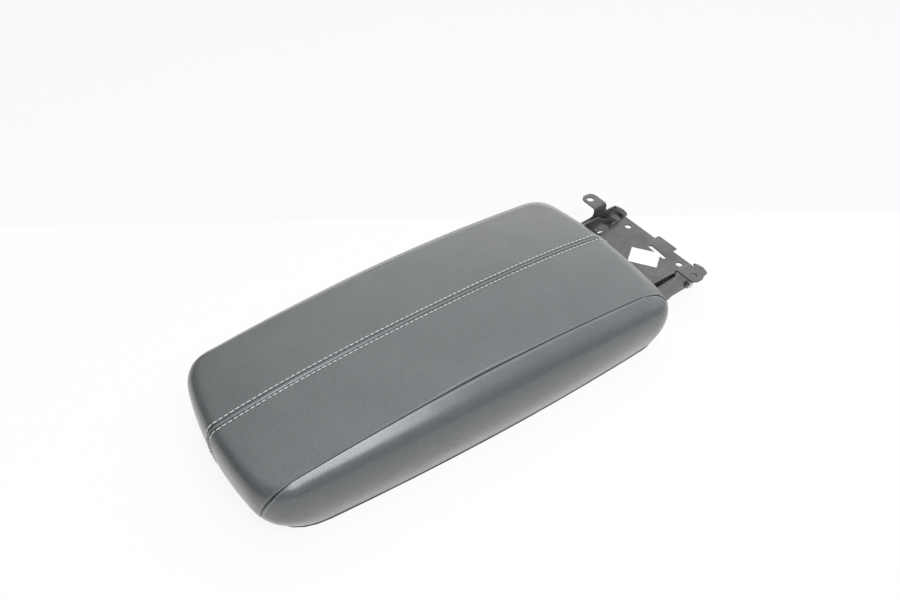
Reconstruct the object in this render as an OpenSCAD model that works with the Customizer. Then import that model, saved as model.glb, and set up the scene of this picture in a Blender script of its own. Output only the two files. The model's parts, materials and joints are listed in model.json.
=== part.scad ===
// Padded centre console armrest lid with its hinge bracket.
// X runs across the lid, the latch end faces -Y, the hinge end faces +Y and Z points up.
// The origin is the bottom centre of the closed assembly.

/* [Lid outline] */
// Length of the padded lid over its front and rear bulges
lid_len = 365.4; // [320:0.1:400]
// Width over the bulge at the front end
bulge_w_front = 147.8; // [142:0.1:154]
// Width over the bulge at mid length
bulge_w_mid = 175; // [166:1:182]
// Width over the bulge at the rear end
bulge_w_rear = 173.6; // [165:0.1:181]
// Distance between the side seams at the front end
seam_w_front = 134.2; // [126:0.1:138]
// Distance between the side seams at mid length
seam_w_mid = 138.4; // [132:0.1:148]
// Distance between the side seams at the rear end
seam_w_rear = 144.8; // [137:0.1:152]
// How far the front edge bows forward between the corners
front_bow = 10.2; // [5:0.1:13]
// How far the rear edge bows backward between the corners
rear_bow = 2.5; // [1:0.1:6]
// Reach of the rounded front corners in plan
front_corner = 28; // [22:1:34]
// Reach of the rounded rear corners in plan
rear_corner = 22; // [16:1:28]
// Reach of the front corners at the cover's bottom edge
hem_corner = 31; // [24:1:36]
// Reach of the front corners where the top meets the walls
top_corner_front = 14.5; // [8:0.5:18]
// Reach of the rear corners where the top meets the walls
top_corner_rear = 16; // [8:0.5:20]
// Fullness of the corners, from flat to square
corner_full = 0.68; // [0.55:0.01:0.75]

/* [Lid section] */
// Height of the side seams at the front end
seam_z_front = 50.8; // [46:0.1:56]
// Height of the side seams at mid length
seam_z_mid = 62.4; // [57:0.1:68]
// Height of the side seams at the rear end
seam_z_rear = 51; // [47:0.1:57]
// Rise of the centre seam above the side seams at the front end
crown_front = 3; // [2:0.1:7]
// Rise of the centre seam above the side seams at mid length
crown_mid = 6.5; // [3:0.1:8]
// Rise of the centre seam above the side seams at the rear end
crown_rear = 5.7; // [2:0.1:8]
// Extra rise of the centre seam between its middle and its ends
crown_full = 1.4; // [0:0.1:3]
// Height of the widest line of the bulge
bulge_z = 30; // [24:1:34]
// How far the cover tucks in from the bulge to its bottom edge at the sides
tuck = 4; // [1:0.25:5]
// The same at the front end
front_tuck = 8.9; // [3:0.1:10]
// The same at the rear end
rear_tuck = 5.8; // [2:0.1:7]
// Depth of the rounded top edge at the front
front_roll = 9; // [8:0.5:14]
// Depth of the rounded top edge at the rear
rear_roll = 14; // [9:0.5:17]
// Share of the wall above the bulge that stays upright at the sides
side_rise = 0.82; // [0.6:0.01:0.9]
// The same at the front and rear
end_rise = 0.8; // [0.6:0.01:0.9]
// How far the shoulder reaches out at the sides
side_out = 0.75; // [0.4:0.01:0.9]
// The same at the front and rear
end_out = 0.65; // [0.4:0.01:0.9]
// How steeply the shoulder falls away from the side seams
side_fall = 0.56; // [0.1:0.01:0.7]
// How steeply the top falls away to the front edge
front_fall = 0.08; // [0:0.01:0.5]

/* [Lid layers] */
// Thickness of the leather cover
leather_t = 1.2; // [0.8:0.1:1.6]
// Width of the groove at a seam
seam_gap = 0.6; // [0.4:0.1:1]
// Where the front end of a side seam meets the bottom edge, as a share of the corner
seam_low = 0.06; // [0.05:0.01:0.4]
// Where it meets the top, as a share of the corner
seam_high = 0.66; // [0.4:0.01:0.8]
// Where the rear end of a side seam lies, as a share of the corner
seam_rear = 0.6; // [0.4:0.01:0.8]
// Thickness of the foam
foam_t = 5; // [3:0.5:6]
// Wall of the moulded shell
shell_t = 2.5; // [2:0.1:3.5]
// Gap between two soft layers
layer_gap = 0.4; // [0.3:0.05:0.6]
// Thickness of the liner
liner_t = 2.4; // [2:0.1:3]
// Height of the ribs on the liner
rib_h = 4; // [2:0.5:6]
// Thickness of the ribs on the liner
rib_t = 1.6; // [1.2:0.1:2.4]
// How far the rubber bumpers stand out below the liner
bumper_h = 1; // [0.5:0.1:2]
// Radius of a bumper
bumper_r = 6; // [5:0.5:8]

/* [Screws] */
// Shank radius of the thread forming screws
screw_r = 1.75; // [1.5:0.05:2.2]
// Head radius of the screws
screw_head_r = 4; // [3.5:0.1:4.5]
// Head height of the screws
screw_head_h = 2; // [1.5:0.1:2.6]
// Length of a screw below its head
screw_len = 14; // [10:1:18]
// Wall of a screw boss round its pilot hole
boss_wall = 2.8; // [2.2:0.1:3.4]

/* [Hinge] */
// Distance from the lid's rear bulge back to the hinge axis
hinge_reach = 56.6; // [55:0.1:68]
// Height of the hinge axis
hinge_z = 8; // [7.5:0.1:8.4]
// Radius of the hinge pin
pin_r = 2.8; // [2.4:0.1:3]
// Radial running clearance of the pins
run_gap = 0.05; // [0.02:0.01:0.08]
// Outer radius of an arm's pivot eye
eye_r = 7; // [6.5:0.1:7.4]
// Sheet thickness of the lid's hinge bracket
arm_t = 2.8; // [2:0.1:3]
// Height of an arm where it leaves the lid
arm_h = 14; // [11:0.5:16]
// Wall of a pivot bush
bush_wall = 1.7; // [1.2:0.1:2]
// Length of the web that joins the arms
web_len = 50; // [40:1:60]

/* [Console bracket] */
// Distance between the outer faces of the side plates
bracket_w = 105; // [104:0.5:112]
// Sheet thickness of the console bracket
sheet_t = 1.5; // [1.2:0.1:2]
// Height of the base plate's top face
plate_z = 13.1; // [12.8:0.1:14]
// Length of the base plate ahead of the hinge axis
plate_front = 50; // [46:0.5:50]
// Length of the base plate behind the hinge axis
plate_rear = 16; // [14:0.5:20]
// Width of the rear tab of the base plate
rear_tab_w = 22.5; // [16:0.5:40]
// Length of the rear tab of the base plate
rear_tab_len = 5.6; // [3:0.1:8]
// Distance between the two locating holes
locator_w = 66; // [50:1:70]
// Radius of a locating hole
locator_r = 3; // [2:0.1:4]
// Height of the fixing tabs' top face
tab_z = 35.5; // [32:0.5:40]
// Width of a fixing tab
tab_w = 15; // [13:0.5:17]
// How far a fixing tab's middle lies behind its hole
tab_shift = 1; // [0:0.1:2]
// Distance between the two fixing holes
fix_w = 130; // [124:1:140]
// Radius of a fixing hole
fix_r = 3.3; // [2.5:0.1:4]
// Distance from a fixing hole to the end of its tab
fix_edge = 7.5; // [6.5:0.5:10]
// Distance of the fixing holes ahead of the hinge axis
fix_y = 15.8; // [13:0.1:17]
// Width of the turned-in rear edge of a side plate
lip_w = 3.6; // [2.5:0.1:4]

/* [Latch] */
// Width of the finger paddle
paddle_w = 54; // [40:1:60]
// Length of the finger paddle
paddle_len = 20; // [16:1:24]
// Thickness of the finger paddle
paddle_t = 2.4; // [2:0.1:3]
// Distance from the lid's front bulge to the paddle
paddle_y = 26; // [25.5:0.5:28]
// Height of the latch pin's axis
latch_z = 12; // [11:0.5:14]
// Radius of the latch pin
latch_r = 1.5; // [1.2:0.1:2]
// Wall of the lever's barrel round the latch pin
barrel_wall = 2.4; // [2:0.1:3]
// Width of the claw
claw_w = 11; // [8:0.5:14]
// Wire radius of the latch spring
wire_r = 0.5; // [0.4:0.05:0.6]
// Number of turns of the latch spring
spring_turns = 6; // [4:1:7]

/* [Label] */
// Length of the label
label_len = 26.4; // [15:0.1:30]
// Width of the label
label_w = 20.7; // [12:0.1:24]
// Thickness of the label
label_t = 0.2; // [0.1:0.05:0.4]
// Distance of the label's middle ahead of the hinge axis
label_y = 12.1; // [8:0.1:16]
// Distance of the label's middle from the middle of the plate
label_x = 8.2; // [0:0.1:12]
// Turn of the label on the plate
label_turn = 35; // [0:1:90]

/* [Hidden] */
$fn = 48;

// Lengthwise places, with zero on the foremost point of the lid
ear_reach = 25;
total_len = lid_len + hinge_reach + ear_reach;
hinge_y = lid_len + hinge_reach;
fit_gap = 0.1;
slip = 0.3;

// Depths of the layers below the outer surface of the cover
foam_d = leather_t + layer_gap;
shell_d = foam_d + foam_t + layer_gap;
cavity_d = shell_d + shell_t;

// Heights of the lower edges
liner_top = bumper_h + liner_t;
cover_z = liner_top + 0.2;
bulge_v = 0.3;

// Value at t of the parabola through a, m and b at the start, the middle and the end
function quad3(a, m, b, t) = a * (1 - t) * (1 - 2 * t) + 4 * m * t * (1 - t) + b * t * (2 * t - 1);
function along(y) = y / lid_len;

// An outline: half widths at the front, middle and rear, front and rear places, corner reaches
function bulge_line(d) = [bulge_w_front / 2 - d, bulge_w_mid / 2 - d, bulge_w_rear / 2 - d,
                          d, lid_len - d, front_corner - d / 2, rear_corner - d / 2];
function hem_line(d) =
    let (n = d + tuck)
    [bulge_w_front / 2 - n, bulge_w_mid / 2 - n, bulge_w_rear / 2 - n, front_tuck + d,
     lid_len - rear_tuck - d, hem_corner - d / 2, rear_corner - n / 2];
function top_line(d) =
    let (n = 0.6 * d)
    [seam_w_front / 2 - n, seam_w_mid / 2 - n, seam_w_rear / 2 - n, front_roll + n,
     lid_len - rear_roll - n, top_corner_front, top_corner_rear];

function half_w(o, y) = quad3(o[0], o[1], o[2], along(y));
function front_y(o, x) = o[3] + front_bow * pow(x / o[0], 2);
function rear_y(o, x) = o[4] - rear_bow * pow(x / o[2], 2);
function bezier(a, b, c, e, s) =
    pow(1 - s, 3) * a + 3 * pow(1 - s, 2) * s * b + 3 * (1 - s) * s * s * c + s * s * s * e;

// Rounded corner between point a with direction m (dy/dx) and point b with direction n (dx/dy)
function corner_x(a, m, b, n) = (b[0] + n * (a[1] - m * a[0] - b[1])) / (1 - m * n);
function corner_tip(a, m, b, n) =
    let (x = corner_x(a, m, b, n)) [x, a[1] + m * (x - a[0])];
function corner(a, m, b, n, s) =
    let (tip = corner_tip(a, m, b, n), f = corner_full)
    bezier(a, a + f * (tip - a), b + f * (tip - b), b, s);

// Point of an outline at station [part, s]: 0 front, 1 front corner, 2 side, 3 rear corner, 4 rear
function front_side_y(o) = front_y(o, o[0]) + o[5];
function rear_side_y(o) = rear_y(o, o[2]) - o[6];
function side_pt(o, y) = [half_w(o, y), y];
function front_end(o) = let (x = half_w(o, front_side_y(o)) - o[5]) [x, front_y(o, x)];
function rear_end(o) = let (x = half_w(o, rear_side_y(o)) - o[6]) [x, rear_y(o, x)];
function slope_w(o, y) = half_w(o, y + 0.5) - half_w(o, y - 0.5);
function outline_pt(o, st) =
    let (f = front_end(o), r = rear_end(o), yf = front_side_y(o), yr = rear_side_y(o))
    st[0] == 0 ? [st[1] * f[0], front_y(o, st[1] * f[0])] :
    st[0] == 1 ? corner(f, front_y(o, f[0] + 0.5) - front_y(o, f[0] - 0.5),
                        side_pt(o, yf), slope_w(o, yf), st[1]) :
    st[0] == 2 ? side_pt(o, yf + st[1] * (yr - yf)) :
    st[0] == 3 ? corner(r, rear_y(o, r[0] + 0.5) - rear_y(o, r[0] - 0.5),
                        side_pt(o, yr), slope_w(o, yr), 1 - st[1]) :
    [(1 - st[1]) * r[0], rear_y(o, (1 - st[1]) * r[0])];

// Height of the top surface, lowered by depth d
function seam_z(y) = quad3(seam_z_front, seam_z_mid, seam_z_rear, along(y));
function crown(y) =
    let (u = pow(2 * along(y) - 1, 2))
    quad3(crown_front, crown_mid, crown_rear, along(y)) + crown_full * 4 * u * (1 - u);
function seam_half(y) = quad3(seam_w_front, seam_w_mid, seam_w_rear, along(y)) / 2;
function top_z(x, y, d) = seam_z(y) + crown(y) * (1 - pow(x / seam_half(y), 2)) - d;

// How much of a station belongs to the side, from 0 at the ends to 1
function side_share(st) = st[0] == 1 ? st[1] : st[0] == 2 ? 1 : st[0] == 3 ? 1 - st[1] : 0;
function between(a, b, s) = a + (b - a) * s;

// Point of the wall at a station, at v from 0 at the hem to 1 at the top line, at depth d
function wall_pt(st, v, d) =
    let (h = outline_pt(hem_line(d), st), b = outline_pt(bulge_line(d), st),
         t = outline_pt(top_line(d), st), zt = top_z(t[0], t[1], d), w = side_share(st))
    v < bulge_v
        ? let (s = v / bulge_v, p = between(h, b, sin(90 * s)))
          [p[0], p[1], between(cover_z, bulge_z, s)]
        : let (q = between(t, b, between(end_out, side_out, w)),
               z = between(bulge_z, zt, between(end_rise, side_rise, w)),
               fall = between(st[0] < 2 ? front_fall : side_fall, side_fall, w))
          bezier([b[0], b[1], bulge_z], [b[0], b[1], z], [q[0], q[1], zt - fall * norm(b - t)],
                 [t[0], t[1], zt], (v - bulge_v) / (1 - bulge_v));

// Stations and levels of the cover panels
function front_seam(v) = between(seam_low, seam_high, v);
function front_cols(v) = concat([for (s = [0:0.25:1]) [0, s]],
                                [for (s = [1:4]) [1, s / 4 * front_seam(v)]]);
function side_cols(v) = concat([for (s = [0:5]) [1, between(front_seam(v), 1, s / 6)]],
                               [for (s = [0:12]) [2, s / 12]],
                               [for (s = [1:5]) [3, s / 5 * seam_rear]]);
rear_cols = concat([for (s = [1:-0.25:0]) [4, s]],
                   [for (s = [1:4]) [3, between(1, seam_rear, s / 4)]]);
wall_levels = [0, 0.1, 0.2, 0.3, 0.42, 0.54, 0.66, 0.77, 0.87];
seam_level = 0.988;

// Faces of a closed sheet whose outer and inner grids have nr rows of nc points
function quad_tris(a, b, c, e) = [[a, b, c], [a, c, e]];
function sheet_faces(nr, nc) =
    let (n = nr * nc)
    [for (i = [0:nr - 2], j = [0:nc - 2], f = quad_tris(i * nc + j, i * nc + j + 1,
        (i + 1) * nc + j + 1, (i + 1) * nc + j)) each [f, [n + f[0], n + f[2], n + f[1]]],
     for (i = [0:nr - 2]) each concat(
        quad_tris(i * nc, (i + 1) * nc, n + (i + 1) * nc, n + i * nc),
        quad_tris((i + 1) * nc + nc - 1, i * nc + nc - 1, n + i * nc + nc - 1,
                  n + (i + 1) * nc + nc - 1)),
     for (j = [0:nc - 2]) each concat(
        quad_tris(j + 1, j, n + j, n + j + 1),
        quad_tris((nr - 1) * nc + j, (nr - 1) * nc + j + 1, n + (nr - 1) * nc + j + 1,
                  n + (nr - 1) * nc + j))];
function flat(rows) = [for (r = rows) each r];
module sheet(outer, inner) {
    polyhedron(concat(flat(outer), flat(inner)), sheet_faces(len(outer), len(outer[0])));
}

// Rows of the top panel: up the front, along the top and down the rear
function inboard(p, f) = [p[0] - seam_gap * f, p[1], p[2]];
function from_centre(p) = [max(p[0], seam_gap / 2), p[1], p[2]];
function strip_row(cols, v, d) =
    [for (j = [0:len(cols) - 1])
        from_centre(inboard(wall_pt(cols[j], v, d), j / (len(cols) - 1)))];
edge_cols = side_cols(1);
function top_row(st, d) =
    let (o = top_line(d), t = outline_pt(o, st), cols = front_cols(1),
         a = outline_pt(o, edge_cols[0]), b = outline_pt(o, edge_cols[len(edge_cols) - 1]),
         last = outline_pt(o, cols[len(cols) - 1])[0],
         yc = o[3] + (t[1] - a[1]) * (o[4] - o[3]) / (b[1] - a[1]))
    [for (c = cols)
        let (f = outline_pt(o, c)[0] / last, x = f * t[0], y = yc + (t[1] - yc) * f * f)
        from_centre([x, y, top_z(x, y, d)])];
function top_rows(d) = concat(
    [for (v = concat(wall_levels, [1])) strip_row(front_cols(v), v, d)],
    [for (k = [1:len(edge_cols) - 2]) top_row(edge_cols[k], d)],
    [strip_row(rear_cols, 1, d)],
    [for (k = [len(wall_levels) - 1:-1:0]) strip_row(rear_cols, wall_levels[k], d)]);
function side_rows(d) = [for (v = concat(wall_levels, [seam_level]))
    [for (c = side_cols(v)) wall_pt(c, v, d)]];

// A closed bowl of rings round the whole lid, between two depths, with its lower edge at z0
ring_cols = concat([for (s = [0:0.5:1]) [0, s]], [for (s = [1:5]) [1, s / 6]],
                   [for (s = [0:9]) [2, s / 9]],
                   [for (s = [1:5]) [3, s / 6]], [for (s = [0:0.5:1]) [4, s]]);
ring_levels = [0.15, 0.3, 0.5, 0.68, 0.84, 1];
function level_at(z) = bulge_v * (z - cover_z) / (bulge_z - cover_z);
ring_scales = [0.8, 0.55, 0.28];
function mirrored(ring) = [for (k = [len(ring) - 2:-1:1]) [-ring[k][0], ring[k][1], ring[k][2]]];
function whole(ring) = concat(ring, mirrored(ring));
function top_ring(s, d) = [for (c = ring_cols)
    let (t = outline_pt(top_line(d), c), x = s * t[0], y = lid_len / 2 + s * (t[1] - lid_len / 2))
    [x, y, top_z(x, y, d)]];
function rings(d, z0) = concat(
    [for (v = concat([level_at(z0)], ring_levels)) whole([for (c = ring_cols) wall_pt(c, v, d)])],
    [for (s = ring_scales) whole(top_ring(s, d))]);
function bowl_faces(nr, nc) =
    let (n = nr * nc + 1)
    [for (i = [0:nr - 2], j = [0:nc - 1], f = quad_tris(i * nc + j, (i + 1) * nc + j,
        (i + 1) * nc + (j + 1) % nc, i * nc + (j + 1) % nc)) each [f, [n + f[0], n + f[2], n + f[1]]],
     for (j = [0:nc - 1]) each [
        [(nr - 1) * nc + j, nr * nc, (nr - 1) * nc + (j + 1) % nc],
        [n + (nr - 1) * nc + j, n + (nr - 1) * nc + (j + 1) % nc, n + nr * nc]],
     for (j = [0:nc - 1]) each quad_tris(j, (j + 1) % nc, n + (j + 1) % nc, n + j)];
module bowl(d_out, d_in, z0) {
    outer = rings(d_out, z0);
    inner = rings(d_in, z0);
    apex = [0, lid_len / 2, top_z(0, lid_len / 2, 0)];
    polyhedron(concat(flat(outer), [apex - [0, 0, d_out]], flat(inner), [apex - [0, 0, d_in]]),
               bowl_faces(len(outer), len(outer[0])));
}

// Flat outline of the lid at a depth inside the hem
module lid_outline(d) {
    polygon([for (p = whole([for (c = ring_cols) let (q = outline_pt(hem_line(d), c))
        [q[0], q[1], 0]])) [p[0], p[1]]]);
}

// Places the model so that the origin is the middle of its length
module placed() {
    translate([0, -total_len / 2, 0]) children();
}
module both_sides() {
    children();
    mirror([1, 0, 0]) children();
}
// A shape drawn in Y and Z, as thick as t outwards from x
module upright(x, t) {
    translate([x, 0, 0]) rotate([90, 0, 90]) linear_extrude(t) children();
}
module across(r, x0, x1, y, z) {
    translate([x0, y, z]) rotate([0, 90, 0]) cylinder(r = r, h = x1 - x0);
}

// Hinge sizes
arm_out = bracket_w / 2 - sheet_t - 2.7;
arm_in = arm_out - arm_t;
arm_low = plate_z + 0.5;
arm_top = arm_low + arm_h;
bush_r = pin_r + run_gap + bush_wall;
neck_y = hinge_y - 22;
neck_r = 6;
web_front = lid_len - cavity_d - web_len - rear_bow - 2;
slot_margin = 1.2;
slot_depth = cavity_d + rear_bow + rear_tuck + 2;
pilot_r = screw_r + fit_gap;
boss_r = pilot_r + boss_wall;

// Openings in the rear wall of the padded lid, through which the arms leave
module arm_slots() {
    both_sides()
        translate([arm_in - slot_margin, lid_len - slot_depth, -1])
            cube([arm_t + 2 * slot_margin, slot_depth + 1, arm_top + slot_margin + 1]);
}

// Places of the liner's screws, the hinge bracket's screws and the bumpers
liner_screw_places = [for (y = [0.18, 0.5, 0.78], side = [-1, 1])
    [side * (half_w(top_line(cavity_d), y * lid_len) - boss_r - rib_t), y * lid_len]];
hinge_screw_places = [for (y = [0.25, 0.75], side = [-1, 1])
    [side * (arm_in - 14), web_front + y * web_len]];
bumper_places = [for (y = [0.24, 0.72], side = [-1, 1]) [side * seam_w_mid * 0.3, y * lid_len]];

module leather_top_right() {
    color([0.33, 0.34, 0.34]) placed() difference() {
        sheet(top_rows(0), top_rows(leather_t));
        arm_slots();
    }
}
module leather_top_left() {
    color([0.33, 0.34, 0.34]) mirror([1, 0, 0]) placed() difference() {
        sheet(top_rows(0), top_rows(leather_t));
        arm_slots();
    }
}
module leather_side_right() {
    color([0.3, 0.31, 0.32]) placed() sheet(side_rows(0), side_rows(leather_t));
}
module leather_side_left() {
    color([0.3, 0.31, 0.32]) mirror([1, 0, 0]) placed() sheet(side_rows(0), side_rows(leather_t));
}

module foam_pad() {
    color([0.75, 0.72, 0.6]) placed() difference() {
        bowl(foam_d, foam_d + foam_t, cover_z + 1);
        arm_slots();
    }
}

// Boss under the shell's roof at a place, with its lower face at z
module roof_boss(p, z) {
    translate([p[0], p[1], z])
        cylinder(r = boss_r, h = top_z(p[0], p[1], shell_d + shell_t / 2) - z);
}
liner_boss_z = liner_top + rib_h + fit_gap;
web_boss_z = arm_top + fit_gap;
module lid_substrate() {
    color([0.12, 0.12, 0.13]) placed() difference() {
        union() {
            bowl(shell_d, cavity_d, liner_top + fit_gap);
            for (p = liner_screw_places) roof_boss(p, liner_boss_z);
            for (p = hinge_screw_places) roof_boss(p, web_boss_z);
        }
        arm_slots();
        for (p = liner_screw_places)
            translate([p[0], p[1], liner_boss_z - 1]) cylinder(r = pilot_r, h = screw_len);
        for (p = hinge_screw_places)
            translate([p[0], p[1], web_boss_z - 1]) cylinder(r = pilot_r, h = screw_len);
    }
}

// Latch sizes
barrel_r = latch_r + run_gap + barrel_wall;
latch_y = paddle_y + paddle_len + 6;
paddle_z = bumper_h;
paddle_gap = 1.2;
window_rear = 3;
latch_ear_x = paddle_w / 2 + 2.5;
latch_ear_t = 3;
spring_x = -14;
spring_len = (spring_turns + 1) * wire_r * 2.4;
coil_r = latch_r + wire_r + 0.6;
claw_y = latch_y + 6;

// Bottom cover with its locating lip, screw posts, ribs, latch ears and latch windows
module liner_ribs() {
    rib_y = [0.26, 0.74] * lid_len;
    rib_x = seam_w_mid * 0.2;
    for (x = [-rib_x, 0, rib_x])
        translate([x - rib_t / 2, rib_y[0], bumper_h]) cube([rib_t, rib_y[1] - rib_y[0], liner_t + rib_h]);
    for (k = [0:4])
        translate([-rib_x, rib_y[0] + k / 4 * (rib_y[1] - rib_y[0]) - rib_t / 2, bumper_h])
            cube([2 * rib_x, rib_t, liner_t + rib_h]);
}
module lid_liner() {
    lip_d = cavity_d + layer_gap;
    color([0.08, 0.08, 0.085]) placed() difference() {
        union() {
            translate([0, 0, bumper_h]) linear_extrude(liner_t) lid_outline(0.5);
            translate([0, 0, bumper_h]) linear_extrude(liner_t + rib_h) difference() {
                lid_outline(lip_d);
                lid_outline(lip_d + rib_t);
            }
            liner_ribs();
            for (p = liner_screw_places)
                translate([p[0], p[1], bumper_h]) cylinder(r = screw_head_r + rib_t, h = liner_t + rib_h);
            for (side = [-1, 1])
                upright(side * (latch_ear_x + latch_ear_t / 2) - latch_ear_t / 2, latch_ear_t) {
                    translate([latch_y - barrel_r, bumper_h]) square([2 * barrel_r, latch_z - bumper_h]);
                    translate([latch_y, latch_z]) circle(barrel_r);
                }
        }
        for (p = liner_screw_places) translate([p[0], p[1], 0]) {
            cylinder(r = screw_r + 0.3, h = 20);
            translate([0, 0, -1]) cylinder(r = screw_head_r + slip, h = bumper_h + 3 + 1);
        }
        for (p = bumper_places) translate([p[0], p[1], -1]) cylinder(r = bumper_stem_r + fit_gap, h = 10);
        across(latch_r + run_gap, -latch_ear_x - 10, latch_ear_x + 10, latch_y, latch_z);
        translate([-paddle_w / 2 - paddle_gap / 2, paddle_y - paddle_gap, 0])
            cube([paddle_w + paddle_gap, paddle_len + paddle_gap + window_rear, liner_top + 1]);
        translate([-claw_w / 2 - 9, claw_y - 3, 0]) cube([claw_w + 18, 13, liner_top + 1]);
    }
}

// Pan head screw with its seat at z, pointing up
module screw_up(p, z, length) {
    translate([p[0], p[1], z]) rotate_extrude()
        polygon([[0, -screw_head_h], [screw_head_r - 1, -screw_head_h], [screw_head_r, -0.8],
                 [screw_head_r, 0], [screw_r, 0], [screw_r, length - 1.5], [0.4, length], [0, length]]);
}
module liner_screws() {
    color([0.2, 0.2, 0.2]) placed()
        for (p = liner_screw_places) screw_up(p, bumper_h + 3 - fit_gap / 2, screw_len);
}
module hinge_screws() {
    color([0.7, 0.7, 0.68]) placed()
        for (p = hinge_screw_places) screw_up(p, arm_top - arm_t - fit_gap / 2, screw_len);
}

// Push-in rubber stop with a stem through the liner
bumper_stem_r = 2.5;
module rubber_bumpers() {
    color([0.05, 0.05, 0.05]) placed()
        for (p = bumper_places) translate([p[0], p[1], 0]) rotate_extrude()
            polygon([[0, 0], [bumper_r - 0.6, 0], [bumper_r, bumper_h - 0.05],
                     [bumper_stem_r, bumper_h - 0.05], [bumper_stem_r, liner_top + 0.1],
                     [bumper_stem_r + 0.9, liner_top + 0.1], [bumper_stem_r - 0.8, liner_top + 3],
                     [0, liner_top + 3]]);
}

// Two circles joined by their outer tangents
module link(p, rp, q, rq) {
    turn = atan2(q[1] - p[1], q[0] - p[0]);
    spread = acos((rp - rq) / norm(q - p));
    around = [for (a = [turn + spread, turn - spread]) [cos(a), sin(a)]];
    translate(p) circle(rp);
    translate(q) circle(rq);
    polygon([p, p + rp * around[0], q + rq * around[0], q, q + rq * around[1], p + rp * around[1]]);
}

// Stamped channel: a web under the shell's roof and a gooseneck arm at each side
module arm_profile() {
    link([neck_y, arm_low + neck_r], neck_r, [hinge_y, hinge_z], eye_r);
    translate([web_front, arm_low]) square([neck_y - web_front, arm_h]);
    translate([neck_y, arm_low + neck_r]) square([neck_r, arm_h - 2 * neck_r]);
    translate([neck_y, arm_top - neck_r]) circle(neck_r);
}
module lid_hinge_bracket() {
    color([0.24, 0.24, 0.24]) placed() difference() {
        union() {
            both_sides() upright(arm_in, arm_t) arm_profile();
            translate([-arm_out, web_front, arm_top - arm_t]) cube([2 * arm_out, web_len, arm_t]);
        }
        both_sides() across(bush_r + fit_gap, arm_in - 1, arm_out + 1, hinge_y, hinge_z);
        for (p = hinge_screw_places)
            translate([p[0], p[1], arm_top - arm_t - 1]) cylinder(r = screw_r + 0.3, h = arm_t + 2);
        for (x = [-14, 14])
            translate([x, web_front + web_len / 2, arm_top - arm_t - 1]) cylinder(r = 9, h = arm_t + 2);
    }
}
bush_flange_t = 1.4;
module pivot_bushes() {
    color([0.85, 0.84, 0.8]) placed() both_sides() difference() {
        union() {
            across(bush_r, arm_in, arm_out + fit_gap, hinge_y, hinge_z);
            across(bush_r + 1.6, arm_out + fit_gap, arm_out + fit_gap + bush_flange_t, hinge_y, hinge_z);
        }
        across(pin_r + run_gap, arm_in - 1, arm_out + 10, hinge_y, hinge_z);
    }
}
module latch_pin() {
    reach = latch_ear_x + latch_ear_t + 0.5;
    color([0.7, 0.7, 0.7]) placed() across(latch_r, -reach, reach, latch_y, latch_z);
}

// Finger paddle, side webs, barrel in two lengths and claw
module lever_web() {
    link([latch_y, latch_z], barrel_r,
         [paddle_y + paddle_len - paddle_t / 2, paddle_z + paddle_t / 2], paddle_t / 2);
}
module claw_profile() {
    heel = [claw_y + 3, latch_z - 5.6];
    link([latch_y, latch_z], barrel_r - 0.2, heel, 1.8);
    link(heel, 1.8, [claw_y + 0.5, liner_top - 0.4], 1.1);
}
module latch_lever() {
    web_x = paddle_w / 2 - 5;
    color([0.07, 0.07, 0.075]) placed() difference() {
        union() {
            translate([-paddle_w / 2, paddle_y, paddle_z]) cube([paddle_w, paddle_len, paddle_t]);
            for (x = [-web_x - 1.5, web_x - 1.5]) upright(x, 3) lever_web();
            across(barrel_r, -paddle_w / 2 + 2, spring_x - 0.4, latch_y, latch_z);
            across(barrel_r, spring_x + spring_len + 0.4, paddle_w / 2 - 2, latch_y, latch_z);
            upright(-claw_w / 2, claw_w) claw_profile();
        }
        across(latch_r + run_gap, -paddle_w, paddle_w, latch_y, latch_z);
    }
}

// Spring: a helix round the latch pin with two short legs
function helix(a) = [spring_x + wire_r * 1.2 + a / 360 * wire_r * 2.4,
                     latch_y + coil_r * cos(a), latch_z + coil_r * sin(a)];
function spring_path() = concat(
    [helix(0) + [0, 0, -7]],
    [for (a = [0:30:360 * spring_turns]) helix(a)],
    [helix(360 * spring_turns) + [0, 0, 7]]);
function unit(v) = v / norm(v);
function ring_at(path, k, r, sides) =
    let (a = path[max(k - 1, 0)], b = path[min(k + 1, len(path) - 1)], t = unit(b - a),
         u = unit(cross(t, abs(t[0]) > 0.9 ? [0, 1, 0] : [1, 0, 0])), w = cross(t, u))
    [for (i = [0:sides - 1]) path[k] + r * (cos(360 * i / sides) * u + sin(360 * i / sides) * w)];
module wire(path, r, sides) {
    n = len(path);
    points = flat([for (k = [0:n - 1]) ring_at(path, k, r, sides)]);
    sides_faces = [for (k = [0:n - 2], i = [0:sides - 1])
        each quad_tris(k * sides + i, (k + 1) * sides + i,
                       (k + 1) * sides + (i + 1) % sides, k * sides + (i + 1) % sides)];
    polyhedron(points, concat(sides_faces, [[for (i = [0:sides - 1]) i]],
        [[for (i = [sides - 1:-1:0]) (n - 1) * sides + i]]));
}
module latch_spring() {
    color([0.75, 0.75, 0.74]) placed() wire(spring_path(), wire_r, 6);
}

// Console bracket sizes
wall_out = bracket_w / 2;
wall_in = wall_out - sheet_t;
front_y0 = hinge_y - plate_front;
rear_y0 = hinge_y + plate_rear;
plate_side = arm_in - 1;
tab_y = hinge_y - fix_y;
tab_end = fix_w / 2 + fix_edge;
bend_r = 3;

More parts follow.
